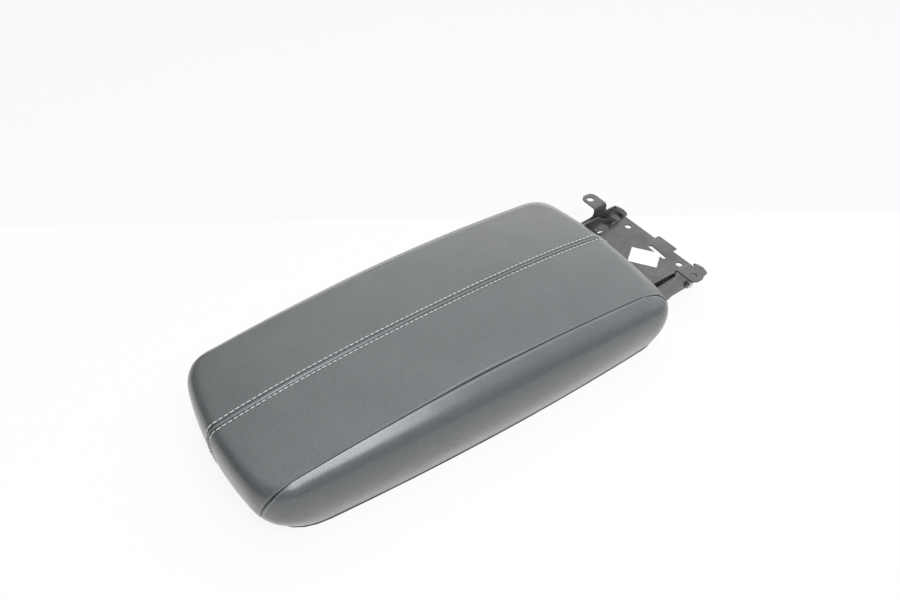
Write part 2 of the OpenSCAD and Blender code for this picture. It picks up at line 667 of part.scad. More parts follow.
module plate_outline() {
    notch_front = neck_y - 2.5;
    half = [[wall_in, front_y0], [wall_in, notch_front], [plate_side - 3, notch_front + 1],
            [plate_side - 5.4, hinge_y - 9], [plate_side, hinge_y - 7],
            [plate_side, hinge_y + 11.8], [wall_in, hinge_y + 11.8], [wall_in, rear_y0]];
    polygon(concat(half, [for (k = [len(half) - 1:-1:0]) [-half[k][0], half[k][1]]]));
    translate([-6, rear_y0 - 1]) square([rear_tab_w, rear_tab_len + 1]);
}
module rounded_slot(a, b, r) {
    length = norm(b - a);
    translate(a) rotate(atan2(b[1] - a[1], b[0] - a[0])) {
        circle(r);
        translate([length, 0]) circle(r);
        translate([0, -r]) square([length, 2 * r]);
    }
}
module base_plate() {
    color([0.3, 0.3, 0.29]) placed() translate([0, 0, plate_z - sheet_t]) linear_extrude(sheet_t)
        difference() {
            plate_outline();
            for (side = [-1, 1]) translate([side * locator_w / 2, hinge_y + 7.4]) circle(locator_r);
            rounded_slot([1, hinge_y + 4], [18, hinge_y + 2.8], 2.2);
            for (side = [-1, 1]) translate([side * (plate_side - 7), notch_relief_y]) square([4, 1.6], true);
        }
}
notch_relief_y = neck_y - 6;

// Side plate drawn in Y and Z, with its bottom edge, ear and the foot of the tab
module side_profile() {
    y = hinge_y;
    foot = tab_y + tab_shift - tab_w / 2;
    polygon([[front_y0, 0], [y - 24, 0], [y - 19, 2.6], [y - 9, 3], [y - 3, hinge_z - 3.8 - 1],
             [y + 18, hinge_z - 3], [y + ear_reach - 2, hinge_z - 2.4], [y + ear_reach, hinge_z - 0.5],
             [y + 22, plate_z - 1.1], [y + 16, 19], [y + 8, 25.4], [y + 5, 26.7],
             [y - 6, 26.7], [foot + tab_w, 27], [foot + tab_w, tab_z - bend_r],
             [foot, tab_z - bend_r], [foot, 29], [foot - 0.8, 27], [foot - 2.6, 26],
             [y - 46, 24], [front_y0, 22]]);
}
// Inner edge of a strip of sheet that follows the points from front to rear
function inward(p, q) = let (d = unit(q - p)) [d[1], -d[0]];
function inner_edge(line) =
    [for (k = [0:len(line) - 1])
        let (n = inward(line[max(k - 1, 0)], line[max(k, 1)]),
             m = inward(line[min(k, len(line) - 2)], line[min(k + 1, len(line) - 1)]))
        line[k] + sheet_t * (n + m) / (1 + n * m)];
module ear_lip() {
    y = hinge_y;
    edge = [[y + 5, 26.7], [y + 8, 25.4], [y + 16, 19], [y + 22, plate_z - 1.1]];
    inner = inner_edge(edge);
    polygon(concat(edge, [for (k = [len(edge) - 1:-1:0]) inner[k]]));
}

// Fixing tab: a bend out of the side plate and a tongue with a rounded end
module tab_outline() {
    end_r = 6;
    x = tab_end - end_r;
    start = wall_in + bend_r;
    half = tab_w / 2;
    polygon(concat([[start, half], [start, -half]],
        [for (a = [-90:15:0]) [x + end_r * cos(a), -half + end_r + end_r * sin(a)]],
        [for (a = [0:15:90]) [x + end_r * cos(a), half - end_r + end_r * sin(a)]]));
}
module tab_bend() {
    translate([wall_in + bend_r, tab_w / 2, tab_z - bend_r]) rotate([90, 0, 0])
        linear_extrude(tab_w) intersection() {
            difference() {
                circle(bend_r);
                circle(bend_r - sheet_t);
            }
            translate([-bend_r, 0]) square(bend_r);
        }
}
module fixing_tab() {
    translate([0, tab_y + tab_shift, 0]) {
        tab_bend();
        translate([0, 0, tab_z - sheet_t]) linear_extrude(sheet_t) tab_outline();
    }
}
module side_plate() {
    difference() {
        union() {
            upright(wall_in, sheet_t) side_profile();
            upright(wall_out - lip_w, lip_w) ear_lip();
            fixing_tab();
        }
        across(pin_r + run_gap, wall_in - 5, wall_out + 1, hinge_y, hinge_z);
        translate([fix_w / 2, tab_y, tab_z - sheet_t - 1]) cylinder(r = fix_r, h = sheet_t + 2);
    }
}
module side_plate_right() {
    color([0.3, 0.3, 0.29]) placed() side_plate();
}
module side_plate_left() {
    color([0.3, 0.3, 0.29]) placed() mirror([1, 0, 0]) side_plate();
}

// Hinge pin with a groove near each end for its clip
clip_t = 0.8;
clip_x = wall_out + 0.3;
groove_r = pin_r - 0.6;
module hinge_pin() {
    reach = clip_x + clip_t + 2;
    color([0.75, 0.75, 0.75]) placed() difference() {
        across(pin_r, -reach, reach, hinge_y, hinge_z);
        both_sides() difference() {
            across(pin_r + 1, clip_x - fit_gap, clip_x + clip_t + fit_gap, hinge_y, hinge_z);
            across(groove_r, clip_x - 1, clip_x + clip_t + 1, hinge_y, hinge_z);
        }
    }
}
module pin_clips() {
    color([0.25, 0.25, 0.25]) placed() both_sides() difference() {
        across(pin_r + 2, clip_x, clip_x + clip_t, hinge_y, hinge_z);
        across(groove_r + 0.05, clip_x - 1, clip_x + clip_t + 1, hinge_y, hinge_z);
        translate([clip_x - 1, hinge_y - groove_r, hinge_z]) cube([clip_t + 2, 2 * groove_r, 10]);
    }
}
module friction_washers() {
    x0 = arm_out + fit_gap + bush_flange_t + 0.1;
    color([0.6, 0.6, 0.6]) placed() both_sides() difference() {
        across(pin_r + 3, x0, wall_in - 0.1, hinge_y, hinge_z);
        across(pin_r + run_gap, x0 - 1, wall_out, hinge_y, hinge_z);
    }
}
module label() {
    color([0.95, 0.95, 0.94]) placed() translate([label_x, hinge_y - label_y, plate_z])
        rotate(label_turn) linear_extrude(label_t) square([label_len, label_w], true);
}

leather_top_right();
leather_top_left();
leather_side_right();
leather_side_left();
foam_pad();
lid_substrate();
lid_liner();
liner_screws();
rubber_bumpers();
lid_hinge_bracket();
hinge_screws();
pivot_bushes();
latch_pin();
latch_lever();
latch_spring();
base_plate();
side_plate_right();
side_plate_left();
hinge_pin();
pin_clips();
friction_washers();
label();
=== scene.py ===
"""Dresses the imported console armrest: stitched leather cover, finishes of every part, floor, light and camera."""

import json
import logging
import math
from bisect import bisect_right
from collections.abc import Callable, Iterable
from dataclasses import dataclass
from enum import Enum
from itertools import accumulate

import bmesh
import bpy
from mathutils import Matrix, Vector, noise

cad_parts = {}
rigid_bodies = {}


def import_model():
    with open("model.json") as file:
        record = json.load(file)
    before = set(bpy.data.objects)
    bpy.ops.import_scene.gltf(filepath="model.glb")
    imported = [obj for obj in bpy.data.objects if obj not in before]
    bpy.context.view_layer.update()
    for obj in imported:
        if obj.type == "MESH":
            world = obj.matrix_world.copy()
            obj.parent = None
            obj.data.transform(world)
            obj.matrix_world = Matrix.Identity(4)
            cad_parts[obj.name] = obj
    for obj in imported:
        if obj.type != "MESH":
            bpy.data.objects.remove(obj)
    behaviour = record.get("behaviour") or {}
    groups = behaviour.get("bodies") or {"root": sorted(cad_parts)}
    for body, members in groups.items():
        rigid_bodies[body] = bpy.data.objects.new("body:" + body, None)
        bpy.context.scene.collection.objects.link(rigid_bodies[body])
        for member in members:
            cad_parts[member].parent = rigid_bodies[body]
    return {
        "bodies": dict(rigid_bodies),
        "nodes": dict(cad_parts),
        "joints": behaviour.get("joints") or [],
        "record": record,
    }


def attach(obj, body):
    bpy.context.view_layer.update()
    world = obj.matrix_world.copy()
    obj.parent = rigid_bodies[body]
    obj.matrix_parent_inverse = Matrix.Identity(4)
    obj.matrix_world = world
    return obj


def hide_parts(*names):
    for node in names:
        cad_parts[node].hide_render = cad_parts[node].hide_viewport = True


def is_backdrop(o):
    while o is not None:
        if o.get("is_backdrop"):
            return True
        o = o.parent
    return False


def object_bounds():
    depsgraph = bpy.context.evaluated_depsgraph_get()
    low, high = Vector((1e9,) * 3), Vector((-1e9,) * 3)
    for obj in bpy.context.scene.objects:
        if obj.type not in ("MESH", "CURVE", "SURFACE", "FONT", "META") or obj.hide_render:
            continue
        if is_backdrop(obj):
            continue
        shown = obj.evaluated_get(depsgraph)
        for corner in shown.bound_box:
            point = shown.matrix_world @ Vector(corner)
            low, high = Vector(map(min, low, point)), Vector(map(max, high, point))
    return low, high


log = logging.getLogger("armrest")

MM = 0.001
# Vertex attribute of the leather that carries the highlight and shade painted beside the seams.
SEAM_PAINTED_LIGHT = "seam_painted_light"

STAMPED = ("base_plate", "side_plate_right", "side_plate_left", "lid_hinge_bracket")
MOULDED = ("lid_liner", "latch_lever", "rubber_bumpers", "pivot_bushes")
STAMPED_EDGE = 0.28 * MM
MOULDED_EDGE = 0.35 * MM

Triple = tuple[float, float, float]
Amount = float | Vector
Material = bpy.types.Material
Socket = bpy.types.NodeSocket
BMesh = bmesh.types.BMesh
Lines = tuple[float, ...]


def blend(a: Amount, b: Amount, share: float) -> Amount:
    """Value between a and b.

    Args:
        a: number or vector at share 0.
        b: number or vector at share 1.
        share: how far along, from 0 to 1.

    Returns:
        The number or vector between them.
    """
    return a + (b - a) * share


def parabola(start: float, middle: float, end: float, share: float) -> float:
    """Height at share of the parabola through three values at 0, a half and 1."""
    rest, centre = 1 - share, 1 - 2 * share
    return start * rest * centre + 4 * middle * share * rest - end * share * centre


def bezier(a: Amount, b: Amount, c: Amount, e: Amount, share: float) -> Amount:
    """Point of the cubic curve with the handles b and c between a and e."""
    rest = 1 - share
    return rest**3 * a + 3 * rest**2 * share * b + 3 * rest * share**2 * c + share**3 * e


def spread_over(start: float, end: float, count: int) -> list[float]:
    """Evenly spaced values from start to end, both included."""
    return [blend(start, end, k / (count - 1)) for k in range(count)]


class Zone(Enum):
    """Stretches of one half of the lid's outline, from the centre of the front round to the centre of the rear."""

    FRONT = 0
    FRONT_CORNER = 1
    SIDE = 2
    REAR_CORNER = 3
    REAR = 4


LAST_STATION = len(Zone)


@dataclass(frozen=True)
class Outline:
    """One closed line round the lid in plan, symmetric about its length.

    Attributes:
        halves: half widths at the front, middle and rear.
        front: place of the foremost point.
        rear: place of the rearmost point.
        front_reach: reach of the front corner.
        rear_reach: reach of the rear corner.
    """

    halves: Triple
    front: float
    rear: float
    front_reach: float
    rear_reach: float


@dataclass(frozen=True)
class LidShape:
    """The outer surface of the cover, in metres.

    The sizes bear the names of the part's source. The sides are a little fuller and rounder than the solids, and the
    ends of the side seams swing into the top line. Sets of three are for the front, the middle and the rear.
    """

    length: float = 365.4 * MM
    total_length: float = 447.0 * MM
    bulge_w: Triple = (150.8 * MM, 178 * MM, 176.6 * MM)
    seam_w: Triple = (134.2 * MM, 138.4 * MM, 144.8 * MM)
    front_bow: float = 10.2 * MM
    rear_bow: float = 2.5 * MM
    front_corner: float = 28 * MM
    rear_corner: float = 22 * MM
    hem_corner: float = 31 * MM
    top_corner_front: float = 14.5 * MM
    top_corner_rear: float = 16 * MM
    corner_full: float = 0.68
    seam_z: Triple = (50.8 * MM, 62.4 * MM, 51 * MM)
    crown: Triple = (3 * MM, 6.5 * MM, 5.7 * MM)
    crown_full: float = 1.4 * MM
    bulge_z: float = 30 * MM
    hem_z: float = 3.6 * MM
    tuck: float = 5.5 * MM
    front_tuck: float = 8.9 * MM
    rear_tuck: float = 5.8 * MM
    front_roll: float = 9 * MM
    rear_roll: float = 14 * MM
    side_rise: float = 0.62
    end_rise: float = 0.8
    side_out: float = 0.6
    end_out: float = 0.65
    side_fall: float = 0.3
    rear_fall: float = 0.56
    front_fall: float = 0.08
    seam_low: float = 0.06
    seam_high: float = 0.66
    seam_rear: float = 0.6
    seam_swing: float = 0.28
    seam_swing_from: float = 0.55
    seam_swing_power: int = 5
    rear_swing: float = 0.58
    rear_swing_from: float = 0.45
    rear_swing_power: int = 6
    bulge_level: float = 0.3

    @property
    def y_shift(self) -> float:
        """Where the foremost point of the lid lies in the row frame."""
        return -self.total_length / 2

    def bulge_line(self) -> Outline:
        """Outline at the widest height.

        Returns:
            The outline.
        """
        return Outline(
            tuple(w / 2 for w in self.bulge_w), 0.0, self.length, self.front_corner, self.rear_corner
        )

    def hem_line(self) -> Outline:
        """Outline of the cover's bottom edge.

        Returns:
            The outline.
        """
        return Outline(
            tuple(w / 2 - self.tuck for w in self.bulge_w),
            self.front_tuck,
            self.length - self.rear_tuck,
            self.hem_corner,
            self.rear_corner - self.tuck / 2,
        )

    def top_line(self) -> Outline:
        """Outline where the top meets the walls.

        Returns:
            The outline.
        """
        return Outline(
            tuple(w / 2 for w in self.seam_w),
            self.front_roll,
            self.length - self.rear_roll,
            self.top_corner_front,
            self.top_corner_rear,
        )

    def half_width(self, line: Outline, y: float) -> float:
        """Half width of an outline at a place along the lid."""
        return parabola(*line.halves, y / self.length)

    def front_y(self, line: Outline, x: float) -> float:
        """Front edge of an outline at a place across the lid."""
        return line.front + self.front_bow * (x / line.halves[0]) ** 2

    def rear_y(self, line: Outline, x: float) -> float:
        """Rear edge of an outline at a place across the lid."""
        return line.rear - self.rear_bow * (x / line.halves[2]) ** 2

    def corner(self, a: Vector, m: float, b: Vector, n: float, share: float) -> Vector:
        """Point of a rounded corner between two edges.

        Args:
            a: end of the edge across the lid.
            m: its slope, dy/dx.
            b: end of the edge along the lid.
            n: its slope, dx/dy.
            share: how far round from a to b.

        Returns:
            The point in plan.
        """
        x = (b.x + n * (a.y - m * a.x - b.y)) / (1 - m * n)
        tip = Vector((x, a.y + m * (x - a.x)))
        full = self.corner_full
        return bezier(a, a + full * (tip - a), b + full * (tip - b), b, share)

    def plan(self, line: Outline, zone: Zone, share: float) -> Vector:
        """Point of an outline in plan.

        Args:
            line: the outline.
            zone: the stretch of its right half.
            share: how far along the stretch, from 0 to 1.

        Returns:
            The point, with y from the foremost point of the lid.
        """
        half_step = 0.5 * MM
        side_front = self.front_y(line, line.halves[0]) + line.front_reach
        side_rear = self.rear_y(line, line.halves[2]) - line.rear_reach
        front_x = self.half_width(line, side_front) - line.front_reach
        rear_x = self.half_width(line, side_rear) - line.rear_reach
        if zone is Zone.FRONT:
            x = share * front_x
            return Vector((x, self.front_y(line, x)))
        if zone is Zone.REAR:
            x = (1 - share) * rear_x
            return Vector((x, self.rear_y(line, x)))
        if zone is Zone.SIDE:
            y = blend(side_front, side_rear, share)
            return Vector((self.half_width(line, y), y))
        at_front = zone is Zone.FRONT_CORNER
        edge = self.front_y if at_front else self.rear_y
        x, y = (front_x, side_front) if at_front else (rear_x, side_rear)
        m = (edge(line, x + half_step) - edge(line, x - half_step)) / MM
        n = (self.half_width(line, y + half_step) - self.half_width(line, y - half_step)) / MM
        start = Vector((x, edge(line, x)))
        end = Vector((self.half_width(line, y), y))
        return self.corner(start, m, end, n, share if at_front else 1 - share)

    def top_z(self, x: float, y: float) -> float:
        """Height of the top surface over a place in plan.

        Args:
            x: place across, from the centre seam.
            y: place along, from the foremost point of the lid.

        Returns:
            The height above the floor.
        """
        along = y / self.length
        u = (2 * along - 1) ** 2
        crown = parabola(*self.crown, along) + self.crown_full * 4 * u * (1 - u)
        half = parabola(*self.seam_w, along) / 2
        return parabola(*self.seam_z, along) + crown * (1 - (x / half) ** 2)

    @staticmethod
    def side_share(zone: Zone, share: float) -> float:
        """How much of a station belongs to the side, from 0 at the ends to 1."""
        return {Zone.FRONT_CORNER: share, Zone.SIDE: 1.0, Zone.REAR_CORNER: 1 - share}.get(zone, 0.0)

    def wall(self, zone: Zone, share: float, level: float) -> Vector:
        """Point of the wall.

        Args:
            zone: the stretch of the outline.
            share: how far along the stretch.
            level: from 0 at the hem to 1 at the top line.

        Returns:
            The point, with y from the foremost point of the lid.
        """
        bulge = self.plan(self.bulge_line(), zone, share)
        if level < self.bulge_level:
            s = level / self.bulge_level
            hem = self.plan(self.hem_line(), zone, share)
            p = blend(hem, bulge, math.sin(math.pi / 2 * s))
            return Vector((p.x, p.y, blend(self.hem_z, self.bulge_z, s)))
        top = self.plan(self.top_line(), zone, share)
        z = self.top_z(top.x, top.y)
        side = self.side_share(zone, share)
        at_front = zone in (Zone.FRONT, Zone.FRONT_CORNER)
        shoulder = blend(top, bulge, blend(self.end_out, self.side_out, side))
        upright = blend(self.bulge_z, z, blend(self.end_rise, self.side_rise, side))
        fall = blend(self.front_fall if at_front else self.rear_fall, self.side_fall, side)
        return bezier(
            Vector((bulge.x, bulge.y, self.bulge_z)),
            Vector((bulge.x, bulge.y, upright)),
            Vector((shoulder.x, shoulder.y, z - fall * (bulge - top).length)),
            Vector((top.x, top.y, z)),
            (level - self.bulge_level) / (1 - self.bulge_level),
        )

    def front_seam(self, level: float) -> float:
        """Where the front end of a side seam runs at a level, as a share of the corner."""
        swing = max(0.0, (level - self.seam_swing_from) / (1 - self.seam_swing_from)) ** self.seam_swing_power
        return blend(self.seam_low, self.seam_high, level) + self.seam_swing * swing

    def rear_seam(self, level: float) -> float:
        """Station of the rear end of a side seam at a level."""
        swing = max(0.0, (level - self.rear_swing_from) / (1 - self.rear_swing_from)) ** self.rear_swing_power
        return Zone.REAR_CORNER.value + self.seam_rear - self.rear_swing * swing

    @staticmethod
    def zone_at(q: float) -> tuple[Zone, float]:
        """Zone of station q, which counts them from 0 at the front's centre to 5 at the rear's, and the share of it."""
        zone = Zone(min(int(q), Zone.REAR.value))
        return zone, q - zone.value

    def in_plan(self, line: Outline, q: float) -> Vector:
        """Point of an outline at station q."""
        return self.plan(line, *self.zone_at(q))

    def station(self, q: float, level: float) -> Vector:
        """Point of the wall at station q."""
        return self.wall(*self.zone_at(q), level)

    def on_top(self, plan: Vector) -> Vector:
        """Point of the top surface over a place in plan."""
        return Vector((plan.x, plan.y, self.top_z(plan.x, plan.y)))


class Finish(Enum):
    """The record's material slots."""

    LEATHER = "leather"
    FOAM = "foam"
    PLASTIC = "moulded_plastic"
    BLACK_STEEL = "black_steel"
    ZINC = "zinc_steel"
    NYLON = "nylon"
    RUBBER = "rubber"
    LABEL = "label_film"


class NodeBoard:
    """A material under construction, with short calls for the nodes that the finishes share."""

    def __init__(self, name: str) -> None:
        """Makes an empty material with a Principled shader on its output.

        Args:
            name: name of the material.
        """
        self.material = bpy.data.materials.new(name)
        self.material.use_nodes = True
        self.tree = self.material.node_tree
        self.shader = self.tree.nodes["Principled BSDF"]
        self.place = self.add("ShaderNodeTexCoord").outputs["Object"]

    def add(self, kind: str, **settings: str) -> bpy.types.Node:
        """Adds a node.

        Args:
            kind: Blender's name of the node's type.
            settings: its properties.

        Returns:
            The node.
        """
        node = self.tree.nodes.new(kind)
        for name, value in settings.items():
            setattr(node, name, value)
        return node

    def link(self, source: Socket, target: Socket) -> None:
        """Joins an output to an input."""
        self.tree.links.new(source, target)

    def set(self, **constants: float) -> None:
        """Sets constants on the shader's own sockets, with underscores for spaces."""
        for name, value in constants.items():
            self.shader.inputs[name.replace("_", " ")].default_value = value

    def noise(self, scale: float, detail: float = 2.0, roughness: float = 0.5, stretch: Triple | None = None) -> Socket:
        """Noise on the object's own coordinates.

        Args:
            scale: cells per metre.
            detail: octaves.
            roughness: weight of the fine octaves.
            stretch: scale of the pattern along each axis, where it isn't the same.

        Returns:
            The factor output.
        """
        place = self.place
        if stretch is not None:
            mapping = self.add("ShaderNodeMapping")
            mapping.inputs["Scale"].default_value = stretch
            self.link(self.place, mapping.inputs["Vector"])
            place = mapping.outputs["Vector"]
        node = self.add("ShaderNodeTexNoise")
        for name, value in (("Scale", scale), ("Detail", detail), ("Roughness", roughness)):
            node.inputs[name].default_value = value
        self.link(place, node.inputs["Vector"])
        return node.outputs["Fac"]

    def cells(self, scale: float, feature: str = "F1", place: Socket | None = None) -> Socket:
        """A Voronoi pattern.

        Args:
            scale: cells per metre.
            feature: what is measured, by the node's own name.
            place: the coordinates, where they aren't the object's.

        Returns:
            The distance output.
        """
        node = self.add("ShaderNodeTexVoronoi", feature=feature)
        node.inputs["Scale"].default_value = scale
        self.link(place or self.place, node.inputs["Vector"])
        return node.outputs["Distance"]

    def math(self, operation: str, a: Socket | float, b: Socket | float) -> Socket:
        """Calculates with outputs or numbers.

        Args:
            operation: the Math node's name for what is done.
            a: the first output or number.
            b: the second.

        Returns:
            The result.
        """
        node = self.add("ShaderNodeMath", operation=operation)
        for socket, value in zip(node.inputs, (a, b)):
            if isinstance(value, (int, float)):
                socket.default_value = value
            else:
                self.link(value, socket)
        return node.outputs["Value"]

    def weighed(self, a: Socket, a_weight: float, b: Socket, b_weight: float) -> Socket:
        """The sum of two outputs, each times its weight."""
        return self.math("ADD", self.math("MULTIPLY", a, a_weight), self.math("MULTIPLY", b, b_weight))

    def ramp(self, source: Socket, low: float, high: float, to_low: float, to_high: float) -> Socket:
        """Maps a range of an output to another range, with smooth ends.

        Args:
            source: the output.
            low: start of its range.
            high: end of its range.
            to_low: value at the start.
            to_high: value at the end.

        Returns:
            The mapped output.
        """
        node = self.add("ShaderNodeMapRange", interpolation_type="SMOOTHSTEP")
        for name, value in zip(("From Min", "From Max", "To Min", "To Max"), (low, high, to_low, to_high)):
            node.inputs[name].default_value = value
        self.link(source, node.inputs["Value"])
        return node.outputs["Result"]

    def colours(self, factor: Socket, dark: Triple, light: Triple) -> Socket:
        """Mixes two colours.

        Args:
            factor: how much of the light one.
            dark: the dark colour.
            light: the light colour.

        Returns:
            The mixed colour.
        """
        node = self.add("ShaderNodeMix", data_type="RGBA")
        self.link(factor, node.inputs["Factor"])
        node.inputs["A"].default_value = (*dark, 1)
        node.inputs["B"].default_value = (*light, 1)
        return node.outputs["Result"]

    def bump(self, height: Socket, strength: float, distance: float, under: Socket | None = None) -> Socket:
        """Tilts the normal by a height.

        Args:
            height: the height, from 0 to 1.
            strength: how much of the tilt shows.
            distance: how deep a height of 1 is, in metres.
            under: the normal of the coarser relief below.

        Returns:
            The normal.
        """
        node = self.add("ShaderNodeBump")
        node.inputs["Strength"].default_value = strength
        node.inputs["Distance"].default_value = distance
        self.link(height, node.inputs["Height"])
        if under is not None:
            self.link(under, node.inputs["Normal"])
        return node.outputs["Normal"]

    def finish(self, colour: Socket, roughness: Socket, normal: Socket) -> Material:
        """Links the outputs to the shader.

        Args:
            colour: output for the base colour.
            roughness: output for the roughness.
            normal: output for the normal.

        Returns:
            The material.
        """
        for name, socket in (("Base Color", colour), ("Roughness", roughness), ("Normal", normal)):
            self.link(socket, self.shader.inputs[name])
        return self.material


@dataclass(frozen=True)
class GrainedLeather:
    """Fine grained, satin grey leather with pores and creases between the pebbles."""

    dark: Triple = (0.078, 0.083, 0.085)
    light: Triple = (0.112, 0.118, 0.118)
    pebbles: float = 1050.0
    pores: float = 2600.0
    warp: float = 420.0
    warp_reach: float = 0.6 * MM

    def build(self) -> Material:
        """Builds the material.

        Returns:
            The material.
        """
        board = NodeBoard("grained_leather")
        board.set(IOR=1.5, Specular_IOR_Level=0.5, Coat_Weight=0.9, Coat_Roughness=0.25, Coat_IOR=1.5)
        warp = board.add("ShaderNodeTexNoise")
        warp.inputs["Scale"].default_value = self.warp
        board.link(board.place, warp.inputs["Vector"])
        shift = board.add("ShaderNodeVectorMath", operation="MULTIPLY_ADD")
        board.link(warp.outputs["Color"], shift.inputs[0])
        shift.inputs[1].default_value = [self.warp_reach] * 3
        board.link(board.place, shift.inputs[2])
        place = shift.outputs["Vector"]
        crease = board.ramp(board.cells(self.pebbles, "DISTANCE_TO_EDGE", place), 0.0, 0.16, 0.0, 1.0)
        pebble = board.ramp(board.cells(self.pebbles, "F1", place), 0.1, 0.75, 1.0, 0.0)
        pore = board.ramp(board.cells(self.pores), 0.08, 0.3, 0.0, 1.0)
        height = board.weighed(crease, 0.6, pebble, 0.4)
        height = board.math("ADD", height, board.math("MULTIPLY", pore, 0.25))
        mottle = board.ramp(board.noise(28.0, 3.0), 0.3, 0.7, 0.0, 1.0)
        fine = board.ramp(board.noise(620.0, 3.0, 0.6), 0.32, 0.68, 0.0, 1.0)
        tone = board.weighed(mottle, 0.35, fine, 0.65)
        # Darker in the creases between the pebbles: painted shade.
        tone = board.math("MULTIPLY", tone, board.ramp(crease, 0.0, 1.0, 0.55, 1.0))
        roughness = board.ramp(board.noise(60.0, 3.0), 0.25, 0.75, 0.38, 0.46)
        roughness = board.math("ADD", roughness, board.ramp(crease, 0.0, 1.0, 0.1, 0.0))
        # The seam attribute paints light into the leather's colour: lighter as painted highlight on the seam ridge and
        # folds, darker as painted shade in the grooves, needle holes and seam lines.
        fold = board.add("ShaderNodeAttribute", attribute_name=SEAM_PAINTED_LIGHT)
        painted_light_mix = board.add("ShaderNodeMix", data_type="RGBA", blend_type="MULTIPLY")
        painted_light_mix.inputs["Factor"].default_value = 1.0
        board.link(board.colours(tone, self.dark, self.light), painted_light_mix.inputs["A"])
        tone_change = board.ramp(fold.outputs["Fac"], -1.0, 1.0, 0.1, 1.9)
        board.link(tone_change, painted_light_mix.inputs["B"])
        waves = board.bump(board.noise(35.0, 2.0), 0.12, 0.0006)
        normal = board.bump(height, 0.6, 0.00015, waves)
        return board.finish(painted_light_mix.outputs["Result"], roughness, normal)


@dataclass(frozen=True)
class TwistedThread:
    """Light grey sewing thread with its twist."""

    dark: Triple = (0.55, 0.56, 0.55)
    light: Triple = (0.82, 0.82, 0.8)

    def build(self) -> Material:
        """Builds the material.

        Returns:
            The material.
        """
        board = NodeBoard("twisted_thread")
        board.set(IOR=1.45, Sheen_Weight=0.3, Sheen_Roughness=0.4)
        wave = board.add("ShaderNodeTexWave", bands_direction="DIAGONAL")
        wave.inputs["Scale"].default_value = 520.0
        wave.inputs["Distortion"].default_value = 1.5
        board.link(board.place, wave.inputs["Vector"])
        fuzz = board.noise(3000.0, 2.0)
        tone = board.weighed(wave.outputs["Fac"], 0.6, fuzz, 0.4)
        roughness = board.ramp(fuzz, 0.2, 0.8, 0.55, 0.75)
        return board.finish(
            board.colours(tone, self.dark, self.light), roughness, board.bump(tone, 0.5, 0.0001)
        )


@dataclass(frozen=True)
class SparkPlastic:
    """Black injection moulded plastic with a fine spark-eroded texture."""

    dark: Triple = (0.022, 0.022, 0.024)
    light: Triple = (0.042, 0.042, 0.045)

    def build(self) -> Material:
        """Builds the material.

        Returns:
            The material.
        """
        board = NodeBoard("spark_plastic")
        board.set(IOR=1.49)
        grain = board.ramp(board.cells(1900.0, "SMOOTH_F1"), 0.05, 0.5, 0.0, 1.0)
        flow = board.noise(30.0, 3.0, 0.6)
        tone = board.weighed(flow, 0.6, grain, 0.4)
        roughness = board.ramp(board.noise(80.0, 4.0), 0.3, 0.7, 0.44, 0.62)
        return board.finish(
            board.colours(tone, self.dark, self.light), roughness, board.bump(grain, 0.3, 0.00006)
        )


@dataclass(frozen=True)
class CoatedSteel:
    """Satin black electrocoat on stamped steel, worn lighter in faint rubs."""

    dark: Triple = (0.07, 0.073, 0.07)
    light: Triple = (0.112, 0.115, 0.11)
    rub: Triple = (0.36, 0.36, 0.35)

    def build(self) -> Material:
        """Builds the material.

        Returns:
            The material.
        """
        board = NodeBoard("coated_steel")
        board.set(IOR=1.6, Metallic=0.55, Coat_Weight=0.5, Coat_Roughness=0.22)
        mottle = board.ramp(board.noise(45.0, 4.0, 0.6), 0.3, 0.7, 0.0, 1.0)
        peel = board.noise(700.0, 2.0)
        scratch = board.noise(260.0, 3.0, 0.6, (1, 14, 14))
        tone_change = board.math(
            "MULTIPLY", board.ramp(scratch, 0.66, 0.72, 0.0, 1.0), board.ramp(board.noise(22.0), 0.5, 0.7, 0.0, 0.5)
        )
        colour = board.colours(mottle, self.dark, self.light)
        mix = board.add("ShaderNodeMix", data_type="RGBA")
        board.link(tone_change, mix.inputs["Factor"])
        board.link(colour, mix.inputs["A"])
        mix.inputs["B"].default_value = (*self.rub, 1)
        roughness = board.ramp(board.noise(120.0, 3.0), 0.3, 0.7, 0.34, 0.48)
        return board.finish(mix.outputs["Result"], roughness, board.bump(peel, 0.16, 0.00008))


@dataclass(frozen=True)
class ZincPlate:
    """Zinc plated steel with fine drawing marks."""

    dark: Triple = (0.46, 0.47, 0.46)
    light: Triple = (0.66, 0.66, 0.63)

    def build(self) -> Material:
        """Builds the material.

        Returns:
            The material.
        """
        board = NodeBoard("zinc_plate")
        board.set(Metallic=1.0, IOR=1.6)
        drawn = board.noise(500.0, 3.0, 0.6, (0.1, 3, 3))
        cloud = board.noise(140.0, 2.0)
        roughness = board.ramp(cloud, 0.3, 0.7, 0.26, 0.42)
        return board.finish(
            board.colours(cloud, self.dark, self.light), roughness, board.bump(drawn, 0.2, 0.00004)
        )


@dataclass(frozen=True)
class PlainMoulding:
    """A matt moulded, rubber or foamed material with cloudy tone and pits.

    Attributes:
        name: name of the material.
        dark: colour of the pits and clouds.
        light: colour between them.
        cell: cells per metre of its surface.
        rough: roughness.
        relief: depth of the surface, in metres.
    """

    name: str
    dark: Triple
    light: Triple
    cell: float
    rough: float
    relief: float

    def build(self) -> Material:
        """Builds the material.

        Returns:
            The material.
        """
        board = NodeBoard(self.name)
        pits = board.ramp(board.cells(self.cell), 0.1, 0.6, 0.0, 1.0)
        cloud = board.noise(50.0, 3.0)
        tone = board.weighed(pits, 0.5, cloud, 0.5)
        roughness = board.ramp(cloud, 0.2, 0.8, self.rough - 0.06, self.rough + 0.06)
        return board.finish(
            board.colours(tone, self.dark, self.light), roughness, board.bump(pits, 0.4, self.relief)
        )


